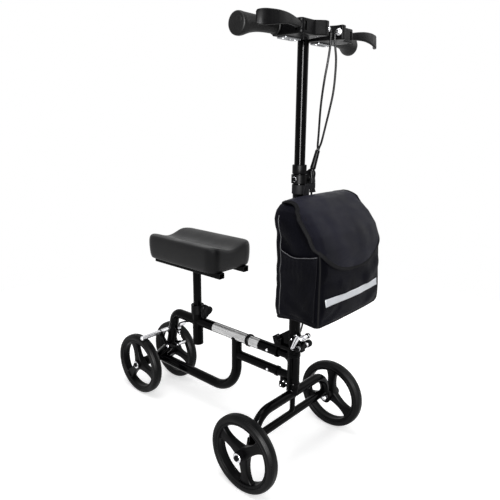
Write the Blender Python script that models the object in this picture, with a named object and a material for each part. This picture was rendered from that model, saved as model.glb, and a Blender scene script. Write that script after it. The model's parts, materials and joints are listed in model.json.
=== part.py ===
"""Knee walker: steered front axle, folding column, braked handlebar, knee pad and front bag.

Metres, +Z up. The floor is z = 0, the front is -Y and the rider's right is -X.
Heights stack up from the wheels, and each piece takes its place from what carries it.
"""

from math import cos, pi, radians, sin, sqrt, tan

import bmesh
import bpy
from mathutils import Matrix, Vector

# Clearance between pieces that touch or slide
GAP = 0.0003

# Wheels
WHEEL_RADIUS = 0.100
TYRE_WIDTH = 0.029
TYRE_DEPTH = 0.016
RIM_WIDTH = 0.025
RIM_DEPTH = 0.0075
HUB_RADIUS = 0.0135
HUB_OUT = 0.0245
REAR_HUB_OUT = 0.0175
SPOKES = 3
AXLE_RADIUS = 0.004
WASHER_RADIUS = 0.0122
WASHER_THICKNESS = 0.0016
CAP_RADIUS = 0.0072
CAP_LENGTH = 0.0048
NUT_RADIUS = 0.0075
NUT_THICKNESS = 0.006

# Stations along the walker and across it
STEER_Y = -0.257
REAR_Y = 0.321
UPRIGHT_Y = -0.051
SEAT_Y = 0.115
FRONT_TRACK = 0.193
REAR_TRACK = 0.076

# Front axle beam
ARCH_RISE = 0.082
ARCH_RADIUS = 0.0125
ARCH_HALF = 0.156
ARCH_BEND = 0.057
ARCH_FOOT = 0.016
CROSS_RISE = 0.022
CROSS_RADIUS = 0.0105
STRUT_RADIUS = 0.00725
DROPOUT_THICKNESS = 0.006
DROPOUT_OUT = 0.010
DROPOUT_RADIUS = 0.017
STEERER_RADIUS = 0.0125
RACE_HEIGHT = 0.006

# Head tube and bearings
BEARING_HEIGHT = 0.0047
BEARING_RADIUS = 0.0176
HEAD_RADIUS = 0.0165
HEAD_LENGTH = 0.094
STUB_RADIUS = 0.011
STUB_LENGTH = 0.048
JOINT_SCREW_RADIUS = 0.002
JOINT_SCREW_HEAD = 0.0042
BUMPER_RADIUS = 0.006
BUMPER_BACK = 0.033
BUMPER_DROP = 0.008

# Main frame tubes
TUBE_RADIUS = 0.015
MID_TUBE_RADIUS = 0.0127
UPRIGHT_RADIUS = 0.0148
TOP_TUBE_RISE = 0.0812
MID_TUBE_RISE = 0.0232
LOWER_TUBE_RISE = 0.0035
TUBE_FRONT_GAP = 0.0325
SCREW_SETBACK = 0.030
LOWER_BEND = 0.089
REAR_CROSS_RADIUS = 0.0155
REAR_CROSS_HALF = 0.058

# Seat post, collar and knob
POST_RADIUS = 0.0127
SLEEVE_RADIUS = 0.0162
SLEEVE_DROP = 0.018
SLEEVE_RISE = 0.0525
SLIT_WIDTH = 0.002
COLLAR_RADIUS = 0.0200
COLLAR_HEIGHT = 0.028
BOSS_RADIUS = 0.008
KNOB_RADIUS = 0.0245
KNOB_THICKNESS = 0.017
KNOB_SHANK = 0.003
KNOB_SLACK = 0.0014
POST_GRIP = 0.115

# Seat bracket and knee pad
BRACKET_RISE = 0.1915
BRACKET_THICKNESS = 0.004
BRACKET_FRONT = -0.026
BRACKET_REAR = 0.206
RAIL_OUT = 0.060
RAIL_IN = 0.039
RAIL_DEPTH = 0.016
RAIL_WALL = 0.003
PAD_FRONT = -0.060
PAD_REAR = 0.258
PAD_HALF = 0.085
PAD_HEIGHT = 0.068
PAD_TROUGH = 0.011

# Rear brake
BRAKE_ROD_RADIUS = 0.007
BRAKE_ROD_HALF = 0.092
BRAKE_SET_OFF = 0.003
BRAKE_BEARING = 109.1
BRAKE_PIVOT_Y = 0.245
BRAKE_PIVOT_RISE = 0.065
ANCHOR_Y = 0.195
ANCHOR_RISE = 0.087
YOKE_PLATE = 0.003
YOKE_BOLT_RADIUS = 0.003
STOP_Y = 0.206
STOP_RISE = 0.131
ADJUSTER_RADIUS = 0.003

# Fold hinge and quick release
SOCKET_RADIUS = 0.0185
SOCKET_HEIGHT = 0.0140
HINGE_PLATE = 0.0095
PIVOT_BACK = 0.040
PIVOT_RISE = 0.011
KNUCKLE_RADIUS = 0.0105
KNUCKLE_HALF = 0.0122
EAR_OUT = 0.0185
PIN_RADIUS = 0.003
PIN_HEAD = 0.006
SKEWER_AHEAD = 0.024
SKEWER_RISE = 0.0044
SKEWER_RADIUS = 0.0025
TONGUE_HALF = 0.006
LUG_OUT = 0.0125
LUG_RADIUS = 0.0085
LEVER_LENGTH = 0.042
CAM_RADIUS = 0.005

# Column, bush, clamp and knob
COLUMN_RADIUS = 0.0148
COLUMN_LENGTH = 0.4461
INNER_RADIUS = 0.0130
INNER_LENGTH = 0.480
BORE_RISE = 0.058
YOKE_RADIUS = 0.0168
YOKE_HEIGHT = 0.036
BUSH_RADIUS = 0.0172
BUSH_HEIGHT = 0.0215
CLAMP_RADIUS = 0.0190
CLAMP_HEIGHT = 0.021
CLAMP_DROP = 0.0115
KNOB_STANDOFF = 0.0285

# Handlebar, grips and brake controls
BAR_RISE = 0.3145
BAR_RADIUS = 0.0111
BAR_HALF = 0.208
TEE_HALF = 0.0148
TEE_RADIUS = 0.0145
GRIP_START = 0.100
GRIP_END = 0.2125
GRIP_NECK = 0.015
HOUSING_BARREL = 0.0165
HOUSING_LOW = 0.018
HOUSING_HIGH = 0.012
LEVER_PIVOT_X = 0.092
LEVER_PIVOT_AHEAD = 0.061
LEVER_ROOT_RADIUS = 0.0085
LEVER_ROOT_HALF = 0.0087
LEVER_PIN_RADIUS = 0.003
ADJUSTER_AHEAD = 0.078
WHEEL_KNURL_RADIUS = 0.0075
THREAD_RADIUS = 0.003
CLAMP_PLATE = 0.003

# Cables
CABLE_RADIUS = 0.0025
WIRE_RADIUS = 0.0008
JUNCTION_RADIUS = 0.0058

# Bag
BAG_DROP = 0.3155
BAG_HEIGHT = 0.262
BAG_WALL = 0.003
BAG_BACK = -0.2805
FLAP_THICKNESS = 0.003
FLAP_HALF = 0.126
FLAP_SIDE = 0.092
FLAP_LENGTH = 0.198
STRAP_THICKNESS = 0.002
STRAP_WIDTH = 0.022

# Heights that stack up from the wheels
AXLE_Z = WHEEL_RADIUS
ARCH_Z = AXLE_Z + ARCH_RISE
CROWN_TOP = ARCH_Z + ARCH_RADIUS + RACE_HEIGHT
HEAD_LOW = CROWN_TOP + GAP + BEARING_HEIGHT + GAP
HEAD_TOP = HEAD_LOW + HEAD_LENGTH
SOCKET_LOW = HEAD_TOP + GAP + BEARING_HEIGHT + GAP
HINGE_TOP = SOCKET_LOW + SOCKET_HEIGHT
PIVOT_Y = STEER_Y + PIVOT_BACK
PIVOT_Z = HINGE_TOP + PIVOT_RISE
SKEWER_Y = STEER_Y - SKEWER_AHEAD
SKEWER_Z = HINGE_TOP + SKEWER_RISE
COLUMN_LOW = HINGE_TOP + GAP
COLUMN_TOP = COLUMN_LOW + COLUMN_LENGTH
CLAMP_Z = COLUMN_TOP - CLAMP_DROP
BAR_Z = COLUMN_TOP + BAR_RISE
INNER_LOW = BAR_Z - INNER_LENGTH
TOP_TUBE_Z = HEAD_LOW + TOP_TUBE_RISE
MID_TUBE_Z = HEAD_LOW + MID_TUBE_RISE
LOWER_TUBE_Z = AXLE_Z + LOWER_TUBE_RISE
SLEEVE_LOW = MID_TUBE_Z - SLEEVE_DROP
SLEEVE_TOP = TOP_TUBE_Z + SLEEVE_RISE
KNOB_Z = SLEEVE_TOP - COLLAR_HEIGHT / 2 + 0.002
BRACKET_Z = TOP_TUBE_Z + BRACKET_RISE
PAD_LOW = BRACKET_Z + BRACKET_THICKNESS + GAP
BRAKE_PIVOT_Z = AXLE_Z + BRAKE_PIVOT_RISE
ANCHOR_Z = AXLE_Z + ANCHOR_RISE
STOP_Z = AXLE_Z + STOP_RISE
BAG_LOW = COLUMN_TOP - BAG_DROP
BAG_TOP = BAG_LOW + BAG_HEIGHT
LEVER_PIVOT_Y = STEER_Y - LEVER_PIVOT_AHEAD
ADJUSTER_Y = STEER_Y - ADJUSTER_AHEAD
ADJUSTER_Z = BAR_Z - 0.003
DROPOUT_FACE = ARCH_HALF + DROPOUT_OUT
TUBE_FRONT_Y = STEER_Y + HEAD_RADIUS + TUBE_FRONT_GAP

SIDES = {"right": -1, "left": 1}
WHEEL_SIDES = 28
ROUND = 16
FINE = 16
SMALL = 10


# Scene, materials and joints

def clear_scene():
    """Remove what the file holds before the model is made."""
    for item in list(bpy.data.objects):
        bpy.data.objects.remove(item, do_unlink=True)


def material(name, colour, roughness, metallic=0.0):
    """Principled material, made once for each finish."""
    found = bpy.data.materials.get(name)
    if found:
        return found
    made = bpy.data.materials.new(name)
    made.use_nodes = True
    shader = made.node_tree.nodes["Principled BSDF"]
    shader.inputs["Base Color"].default_value = (*colour, 1.0)
    shader.inputs["Roughness"].default_value = roughness
    shader.inputs["Metallic"].default_value = metallic
    made.diffuse_color = (*colour, 1.0)
    return made


FINISHES = {
    "frame_paint": ((0.012, 0.012, 0.013), 0.32, 0.0),
    "zinc": ((0.62, 0.63, 0.65), 0.30, 1.0),
    "black_plastic": ((0.018, 0.018, 0.019), 0.50, 0.0),
    "tyre_grey": ((0.03, 0.03, 0.032), 0.6, 0.0),
    "black_rubber": ((0.015, 0.015, 0.015), 0.80, 0.0),
    "pad_cover": ((0.020, 0.020, 0.022), 0.55, 0.0),
    "bag_cloth": ((0.022, 0.022, 0.026), 0.90, 0.0),
    "cable_black": ((0.010, 0.010, 0.010), 0.45, 0.0),
    "clamp_grey": ((0.38, 0.39, 0.40), 0.45, 0.6),
}

PLACES = {}


def joint(name, place, parent=None):
    """Empty on a joint's axis that carries the pieces of one moving body."""
    carrier = bpy.data.objects.new(name, None)
    bpy.context.scene.collection.objects.link(carrier)
    PLACES[name] = Vector(place)
    carrier.parent = parent
    carrier.location = PLACES[name] - (PLACES[parent.name] if parent else Vector())
    return carrier


def finish(piece, name, look, carrier, sharp=34):
    """Name the piece, give it its material and hang it on its carrier with its origin there."""
    shape = piece.data
    clean = bmesh.new()
    clean.from_mesh(shape)
    bmesh.ops.recalc_face_normals(clean, faces=clean.faces)
    clean.to_mesh(shape)
    clean.free()
    shape.transform(Matrix.Translation(-PLACES[carrier.name]))
    shape.shade_smooth()
    shape.set_sharp_from_angle(angle=radians(sharp))
    shape.materials.clear()
    shape.materials.append(material(look, *FINISHES[look]))
    shape.name = name
    piece.name = name
    piece.parent = carrier
    return piece


# Solids

def solid(points, faces):
    """Object from points and faces, with its faces pointing out."""
    shape = bpy.data.meshes.new("shape")
    shape.from_pydata([tuple(point) for point in points], [], faces)
    clean = bmesh.new()
    clean.from_mesh(shape)
    bmesh.ops.recalc_face_normals(clean, faces=clean.faces)
    clean.to_mesh(shape)
    clean.free()
    piece = bpy.data.objects.new("shape", shape)
    bpy.context.scene.collection.objects.link(piece)
    return piece


def loft(rings):
    """Closed skin over rings that have the same number of points."""
    count = len(rings[0])
    points = [point for ring in rings for point in ring]
    faces = [tuple(reversed(range(count)))]
    for row in range(len(rings) - 1):
        low = row * count
        high = low + count
        for index in range(count):
            after = (index + 1) % count
            faces.append((low + index, low + after, high + after, high + index))
    last = (len(rings) - 1) * count
    faces.append(tuple(range(last, last + count)))
    return solid(points, faces)


def sweep(path, radius, sides=ROUND, phase=0.0):
    """Round bar along a path. The radius is one value, or one for each point.

    The phase turns its facets, in facets, so that no edge runs along an edge of a crossing tube.
    """
    points = [Vector(point) for point in path]
    radii = radius if isinstance(radius, list) else [radius] * len(points)
    runs = [(ahead - back).normalized() for back, ahead in zip(points, points[1:])]
    headings = [runs[0]] + [(a + b).normalized() for a, b in zip(runs, runs[1:])] + [runs[-1]]
    upright = abs(headings[0].z) > 0.9
    across = Vector((1, 0, 0)) if upright else headings[0].cross(Vector((0, 0, 1)))
    rings = []
    for point, heading, size in zip(points, headings, radii):
        across = (across - heading * across.dot(heading)).normalized()
        other = heading.cross(across)
        ring = []
        for index in range(sides):
            turn = 2 * pi * (index + phase) / sides
            ring.append(point + (across * cos(turn) + other * sin(turn)) * size)
        rings.append(ring)
    return loft(rings)


def rounded_path(corners, radii, steps=5):
    """Path through the corners, each inner one rounded by an arc of its own radius."""
    corners = [Vector(corner) for corner in corners]
    path = [corners[0]]
    for before, corner, after, radius in zip(corners, corners[1:], corners[2:], radii):
        inward = (before - corner).normalized()
        onward = (after - corner).normalized()
        half = inward.angle(onward) / 2
        reach = radius / tan(half)
        centre = corner + (inward + onward).normalized() * (radius / sin(half))
        start = corner + inward * reach - centre
        stop = corner + onward * reach - centre
        axis = start.cross(stop).normalized()
        turn = start.angle(stop)
        for step in range(steps + 1):
            path.append(centre + Matrix.Rotation(turn * step / steps, 3, axis) @ start)
    path.append(corners[-1])
    return path


def smooth_path(knots, step):
    """Points read from a smooth curve through a cord's own points, about one step apart."""
    knots = [Vector(knot) for knot in knots]
    padded = [knots[0] * 2 - knots[1]] + knots + [knots[-1] * 2 - knots[-2]]
    path = []
    for a, b, c, d in zip(padded, padded[1:], padded[2:], padded[3:]):
        bend = (b - a).angle(c - b) + (c - b).angle(d - c)
        pieces = max(1, round((c - b).length / step)) if bend > 0.12 else 1
        for index in range(pieces):
            t = index / pieces
            path.append(0.5 * (2 * b + (c - a) * t + (2 * a - 5 * b + 4 * c - d) * t ** 2
                               + (3 * b - a - 3 * c + d) * t ** 3))
    path.append(knots[-1])
    return path


TURNED = {
    "X": Matrix(((0, 0, 1), (1, 0, 0), (0, 1, 0))),
    "Y": Matrix(((0, 1, 0), (0, 0, 1), (1, 0, 0))),
    "Z": Matrix.Identity(3),
}


def lathe(profile, axis="Z", place=(0, 0, 0), sides=ROUND, phase=0.0):
    """Solid of revolution. The profile is a closed loop of (radius, distance along the axis)."""
    points = []
    rows = []
    for radius, along in profile:
        if radius == 0:
            rows.append([len(points)])
            points.append(Vector((0, 0, along)))
            continue
        rows.append(list(range(len(points), len(points) + sides)))
        for index in range(sides):
            turn = 2 * pi * (index + phase) / sides
            points.append(Vector((radius * cos(turn), radius * sin(turn), along)))
    faces = []
    for row, after in zip(rows, rows[1:] + rows[:1]):
        if len(row) == 1 and len(after) == 1:
            continue
        for index in range(sides):
            nearby = (index + 1) % sides
            corners = [row[index % len(row)], row[nearby % len(row)],
                       after[nearby % len(after)], after[index % len(after)]]
            faces.append(tuple(dict.fromkeys(corners)))
    turned = TURNED[axis]
    return solid([turned @ point + Vector(place) for point in points], faces)


def rod(start, stop, radius, sides=ROUND, phase=0.0):
    """Straight round bar."""
    return sweep([start, stop], radius, sides, phase)


def hole(start, stop, shaft, sides=ROUND):
    """Cutter for the hole round a shaft: wider by the clearance, its facets half a step off."""
    return rod(start, stop, shaft + GAP, sides, 0.5)


def prism(outline, low, high, axis="Z", edge=0.0):
    """Outline drawn across the axis, as (y, z), (x, z) or (x, y), carried from low to high.

    An edge draws the two end faces in, which bevels their rims.
    """
    def lift(point, level):
        first, second = point
        order = {"X": (level, first, second), "Y": (first, level, second), "Z": (first, second, level)}
        return Vector(order[axis])
    levels = [(low, outline), (high, outline)]
    if edge:
        drawn_in = inset(outline, edge)
        inward = edge if high > low else -edge
        levels = [(low, drawn_in), (low + inward, outline), (high - inward, outline), (high, drawn_in)]
    return loft([[lift(point, level) for point in shape] for level, shape in levels])


def inset(outline, amount):
    """Outline with each point moved inward by the amount."""
    count = len(outline)
    area = sum(outline[i - 1][0] * outline[i][1] - outline[i][0] * outline[i - 1][1] for i in range(count))
    way = 1 if area > 0 else -1
    moved = []
    for index in range(count):
        before = Vector(outline[index - 1])
        here = Vector(outline[index])
        after = Vector(outline[(index + 1) % count])
        run = (here - before).normalized() + (after - here).normalized()
        run.normalize()
        moved.append((here.x - run.y * amount * way, here.y + run.x * amount * way))
    return moved


def block(low, high):
    """Box between two corners."""
    outline = [(low[0], low[1]), (high[0], low[1]), (high[0], high[1]), (low[0], high[1])]
    return prism(outline, low[2], high[2])


def arc(centre, radius, start, stop, steps=6):
    """Points of an arc, with its angles in degrees."""
    points = []
    for step in range(steps + 1):
        turn = radians(start + (stop - start) * step / steps)
        points.append((centre[0] + radius * cos(turn), centre[1] + radius * sin(turn)))
    return points


def rounded_outline(corners, radius, steps=3):
    """Closed outline whose corners are rounded. The radius is one value, or one for each corner."""
    radii = radius if isinstance(radius, list) else [radius] * len(corners)
    outline = []
    count = len(corners)
    for index, size in enumerate(radii):
        spots = [Vector((*corners[(index + shift) % count], 0)) for shift in (-1, 0, 1)]
        if size == 0:
            outline.append(spots[1].xy[:])
            continue
        outline += [point.xy[:] for point in rounded_path(spots, [size], steps)[1:-1]]
    return outline


def combine(piece, others, operation):
    """Bake one Boolean for each other solid into the piece, and remove the others."""
    for other in others:
        step = piece.modifiers.new(operation.lower(), "BOOLEAN")
        step.operation = operation
        step.solver = "EXACT"
        step.object = other
    view = bpy.context.evaluated_depsgraph_get()
    view.update()
    shape = bpy.data.meshes.new_from_object(piece.evaluated_get(view))
    piece.modifiers.clear()
    piece.data = shape
    for other in others:
        bpy.data.objects.remove(other, do_unlink=True)
    return piece


def join(piece, *others):
    """Union of solids."""
    return combine(piece, others, "UNION")


def cut(piece, *others):
    """The piece less the other solids."""
    return combine(piece, others, "DIFFERENCE")


def rounded_box(half_width, half_height, corner, steps=1):
    """Outline of a box section with rounded corners, centred on zero."""
    corners = [(half_width, -half_height), (half_width, half_height),
               (-half_width, half_height), (-half_width, -half_height)]
    return rounded_outline(corners, corner, steps)


# Wheels

def tyre(name, x, y, carrier):
    """Solid tyre with a slightly domed tread."""
    inner = WHEEL_RADIUS - TYRE_DEPTH
    half = TYRE_WIDTH / 2
    flank = WHEEL_RADIUS - TYRE_DEPTH * 0.3
    profile = [(inner, -half * 0.9), (flank, -half), (WHEEL_RADIUS, -half * 0.5),
               (WHEEL_RADIUS, half * 0.5), (flank, half), (inner, half * 0.9)]
    return finish(lathe(profile, "X", (x, y, AXLE_Z), WHEEL_SIDES), name, "tyre_grey", carrier)


def spoke(x, y, turn):
    """Broad spoke that flares into the hub and into the rim."""
    start = HUB_RADIUS * 0.6
    stop = WHEEL_RADIUS - TYRE_DEPTH - GAP - RIM_DEPTH * 0.5
    outward = Vector((0, -sin(turn), cos(turn)))
    sideways = Vector((0, cos(turn), sin(turn)))
    centre = Vector((x, y, AXLE_Z))
    rings = []
    for share, width, depth in ((0.0, 0.0125, 0.0105), (0.35, 0.0092, 0.0094), (0.7, 0.0104, 0.0084),
                                (1.0, 0.0195, 0.0078)):
        spot = centre + outward * (start + (stop - start) * share)
        ring = []
        for across, deep in rounded_box(width, depth, 0.003):
            ring.append(spot + sideways * across + Vector((deep, 0, 0)))
        rings.append(ring)
    return loft(rings)


def rim(name, x, y, side, hub_in, hub_out, lead, carrier):
    """Moulded rim: channel band, three spokes and a long hub, bored for the axle."""
    band_out = WHEEL_RADIUS - TYRE_DEPTH - GAP
    band_in = band_out - RIM_DEPTH
    half = RIM_WIDTH / 2
    place = (x, y, AXLE_Z)
    body = lathe([(band_in, -half), (band_out, -half), (band_out, half), (band_in, half),
                  (band_in + 0.002, 0)], "X", place, WHEEL_SIDES)
    lip = 0.0015
    hub = lathe([(0, -hub_in * side), (HUB_RADIUS - lip, -hub_in * side),
                 (HUB_RADIUS, (-hub_in + lip) * side), (HUB_RADIUS, (hub_out - lip) * side),
                 (HUB_RADIUS - lip, hub_out * side), (0, hub_out * side)], "X", place, SMALL + 2)
    spokes = [spoke(x, y, radians(lead) + 2 * pi * index / SPOKES) for index in range(SPOKES)]
    reach = hub_in + hub_out
    bore = hole((x - reach, y, AXLE_Z), (x + reach, y, AXLE_Z), AXLE_RADIUS, SMALL)
    join(body, hub, *spokes)
    cut(body, bore)
    return finish(body, name, "black_plastic", carrier)


def cap_profile(base, side, tail, tail_radius):
    """Domed cap on a washer, with a shank that runs inward to the tail."""
    face = base + WASHER_THICKNESS
    top = face + CAP_LENGTH
    return [(0, tail * side), (tail_radius, tail * side), (tail_radius, base * side),
            (WASHER_RADIUS, base * side), (WASHER_RADIUS, face * side), (CAP_RADIUS, face * side),
            (CAP_RADIUS, (top - 0.002) * side), (CAP_RADIUS * 0.6, (top - 0.0004) * side),
            (0, top * side)]


def front_wheels(carriers, steerer):
    """Front wheels on their bolts, outside the dropouts."""
    for label, side in SIDES.items():
        x = FRONT_TRACK * side
        carrier = carriers[label]
        tyre("tyre_front_" + label, x, STEER_Y, carrier)
        rim("rim_front_" + label, x, STEER_Y, side, FRONT_TRACK - DROPOUT_FACE - GAP, HUB_OUT,
            52, carrier)
        inner = DROPOUT_FACE - DROPOUT_THICKNESS - GAP
        tail = inner - NUT_THICKNESS - 0.002
        place = (0, STEER_Y, AXLE_Z)
        bolt = lathe(cap_profile(FRONT_TRACK + HUB_OUT + GAP, side, tail, AXLE_RADIUS), "X", place, SMALL + 2)
        finish(bolt, "axle_bolt_front_" + label, "zinc", steerer)
        nut = lathe([(AXLE_RADIUS + GAP, inner * side), (NUT_RADIUS, inner * side),
                     (NUT_RADIUS, (inner - NUT_THICKNESS) * side),
                     (AXLE_RADIUS + GAP, (inner - NUT_THICKNESS) * side)], "X", place, SMALL)
        finish(nut, "axle_nut_front_" + label, "zinc", steerer)


def rear_wheels(carriers, frame):
    """Rear wheels on one axle rod through the cross tube."""
    for label, side in SIDES.items():
        x = REAR_TRACK * side
        tyre("tyre_rear_" + label, x, REAR_Y, carriers[label])
        rim("rim_rear_" + label, x, REAR_Y, side, REAR_TRACK - REAR_CROSS_HALF - GAP, REAR_HUB_OUT,
            -16, carriers[label])
    base = REAR_TRACK + REAR_HUB_OUT + GAP
    place = (0, REAR_Y, AXLE_Z)
    tail = -(base + WASHER_THICKNESS + CAP_LENGTH * 0.4)
    axle = lathe(cap_profile(base, -1, tail, AXLE_RADIUS), "X", place, 16)
    finish(axle, "rear_axle", "zinc", frame)
    face = base + WASHER_THICKNESS
    top = face + CAP_LENGTH
    bore = AXLE_RADIUS + GAP
    floor = -tail + GAP
    nut = lathe([(bore, base), (WASHER_RADIUS, base), (WASHER_RADIUS, face), (CAP_RADIUS, face),
                 (CAP_RADIUS, top - 0.002), (CAP_RADIUS * 0.6, top - 0.0004), (0, top),
                 (0, floor), (bore, floor)], "X", place, 16)
    finish(nut, "rear_axle_nut", "zinc", frame)


# Main frame

REAR_KNEE = (0.2215, 0.2495)


def main_frame(frame):
    """Welded frame: top tube down to the rear axle, lower tube up to it, short middle tube."""
    knee_top, knee_low = REAR_KNEE
    top = [(0, TUBE_FRONT_Y, TOP_TUBE_Z), (0, knee_top, TOP_TUBE_Z),
           (0, knee_low, AXLE_Z + 0.066), (0, REAR_Y, AXLE_Z)]
    body = sweep(rounded_path(top, [0.035, 0.080], 4), TUBE_RADIUS)
    lower = [(0, REAR_Y - 0.009, LOWER_TUBE_Z), (0, UPRIGHT_Y, LOWER_TUBE_Z), (0, UPRIGHT_Y, TOP_TUBE_Z)]
    lower_tube = sweep(rounded_path(lower, [LOWER_BEND], 6), UPRIGHT_RADIUS)
    middle = rod((0, TUBE_FRONT_Y, MID_TUBE_Z), (0, UPRIGHT_Y, MID_TUBE_Z), MID_TUBE_RADIUS)
    sleeve = rod((0, SEAT_Y, SLEEVE_LOW), (0, SEAT_Y, SLEEVE_TOP), SLEEVE_RADIUS, ROUND, 0.5)
    cross = rod((-REAR_CROSS_HALF, REAR_Y, AXLE_Z), (REAR_CROSS_HALF, REAR_Y, AXLE_Z), REAR_CROSS_RADIUS)
    tab = prism(rounded_outline([(-0.007, STOP_Y - 0.007), (0.007, STOP_Y - 0.007),
                                 (0.007, STOP_Y + 0.018), (-0.007, STOP_Y + 0.018)],
                                [0.005, 0.005, 0, 0]), STOP_Z - 0.002, STOP_Z + 0.002)
    join(body, lower_tube, middle, sleeve, cross, tab)
    sockets = []
    depth = TUBE_FRONT_Y + STUB_LENGTH
    for height in (TOP_TUBE_Z, MID_TUBE_Z):
        sockets.append(hole((0, TUBE_FRONT_Y - 0.01, height), (0, depth, height), STUB_RADIUS))
        screw_y = TUBE_FRONT_Y + SCREW_SETBACK
        sockets.append(hole((-0.03, screw_y, height), (0, screw_y, height), JOINT_SCREW_RADIUS, SMALL))
    post = hole((0, SEAT_Y, SLEEVE_LOW - 0.01), (0, SEAT_Y, SLEEVE_TOP + 0.01), POST_RADIUS)
    slit = block((-SLIT_WIDTH / 2, SEAT_Y, TOP_TUBE_Z + TUBE_RADIUS + 0.002),
                 (SLIT_WIDTH / 2, SEAT_Y + 0.03, SLEEVE_TOP + 0.01))
    shank = hole((0, SEAT_Y - 0.03, KNOB_Z), (0, SEAT_Y, KNOB_Z), KNOB_SHANK, SMALL)
    axle = hole((-0.08, REAR_Y, AXLE_Z), (0.08, REAR_Y, AXLE_Z), AXLE_RADIUS, SMALL)
    pivot = hole((-0.03, BRAKE_PIVOT_Y, BRAKE_PIVOT_Z), (0.03, BRAKE_PIVOT_Y, BRAKE_PIVOT_Z),
                 YOKE_BOLT_RADIUS, SMALL)
    stop = hole((0, STOP_Y, STOP_Z - 0.01), (0, STOP_Y, STOP_Z + 0.01), ADJUSTER_RADIUS, SMALL)
    cut(body, *sockets, post, slit, shank, axle, pivot, stop)
    finish(body, "main_frame", "frame_paint", frame)


def head_tube(frame):
    """Head tube with two stubs that the frame tubes slide over, and its stop bracket."""
    body = lathe([(0, HEAD_LOW), (HEAD_RADIUS + 0.0012, HEAD_LOW), (HEAD_RADIUS + 0.0012, HEAD_LOW + 0.008),
                  (HEAD_RADIUS, HEAD_LOW + 0.010), (HEAD_RADIUS, HEAD_TOP - 0.010),
                  (HEAD_RADIUS + 0.0012, HEAD_TOP - 0.008), (HEAD_RADIUS + 0.0012, HEAD_TOP),
                  (0, HEAD_TOP)], "Z", (0, STEER_Y, 0), FINE, 0.5)
    stop = TUBE_FRONT_Y + STUB_LENGTH - 0.002
    screw_y = TUBE_FRONT_Y + SCREW_SETBACK
    stubs = []
    for height in (TOP_TUBE_Z, MID_TUBE_Z):
        screw_hole = hole((-0.03, screw_y, height), (0.001, screw_y, height), JOINT_SCREW_RADIUS, SMALL)
        stubs.append(cut(rod((0, STEER_Y, height), (0, stop, height), STUB_RADIUS, ROUND, 0.5), screw_hole))
    bumper_y, bumper_z = bumper_place()
    stand = BUMPER_RADIUS + 0.003
    foot = block((-0.007, bumper_y - stand * 0.67, bumper_z),
                 (0.007, bumper_y + stand * 0.67, MID_TUBE_Z - STUB_RADIUS * 0.5))
    cradle = prism(rounded_outline([(bumper_y - stand, bumper_z - stand), (bumper_y + stand, bumper_z - stand),
                                    (bumper_y + stand, bumper_z + stand), (bumper_y - stand, bumper_z + stand)],
                                   0.003, 1), -0.0072, 0.0072, "X")
    bracket = join(foot, cradle)
    cut(bracket, hole((-0.03, bumper_y, bumper_z), (0.03, bumper_y, bumper_z), BUMPER_RADIUS))
    join(body, *stubs, bracket)
    bore = hole((0, STEER_Y, HEAD_LOW - 0.01), (0, STEER_Y, HEAD_TOP + 0.01), STEERER_RADIUS, FINE)
    cut(body, bore)
    finish(body, "head_tube", "frame_paint", frame)


def bumper_place():
    """Centre of the steering stop bumper, in y and z."""
    return STEER_Y + BUMPER_BACK, HEAD_LOW - BUMPER_DROP


def head_fittings(frame):
    """Steering bearings, joint screws and the stop bumper."""
    inner = STEERER_RADIUS + GAP
    for label, low, flare in (("lower", CROWN_TOP + GAP, 1), ("upper", HEAD_TOP + GAP, 0)):
        high = low + BEARING_HEIGHT
        edge = 0.0012
        narrow_low, narrow_high = (edge, 0) if flare else (0, edge)
        ring = lathe([(inner, low), (BEARING_RADIUS - narrow_low, low), (BEARING_RADIUS, low + edge),
                      (BEARING_RADIUS, high - edge), (BEARING_RADIUS - narrow_high, high),
                      (inner, high)], "Z", (0, STEER_Y, 0), FINE)
        finish(ring, "head_bearing_" + label, "zinc", frame)
    screw_y = TUBE_FRONT_Y + SCREW_SETBACK
    for label, height, tube in (("upper", TOP_TUBE_Z, TUBE_RADIUS), ("lower", MID_TUBE_Z, MID_TUBE_RADIUS)):
        base = tube + GAP
        screw = lathe([(0, -0.002), (JOINT_SCREW_RADIUS, -0.002), (JOINT_SCREW_RADIUS, -base),
                       (JOINT_SCREW_HEAD, -base), (JOINT_SCREW_HEAD, -base - 0.0015),
                       (JOINT_SCREW_HEAD * 0.6, -base - 0.003), (0, -base - 0.003)],
                      "X", (0, screw_y, height), SMALL)
        finish(screw, "joint_screw_" + label, "zinc", frame)
    bumper_y, bumper_z = bumper_place()
    half = 0.0135
    bumper = lathe([(0, -half), (BUMPER_RADIUS * 0.7, -half), (BUMPER_RADIUS, -half + 0.002),
                    (BUMPER_RADIUS, half - 0.002), (BUMPER_RADIUS * 0.7, half), (0, half)],
                   "X", (0, bumper_y, bumper_z), SMALL)
    finish(bumper, "stop_bumper", "black_rubber", frame)


# Front axle

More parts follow.
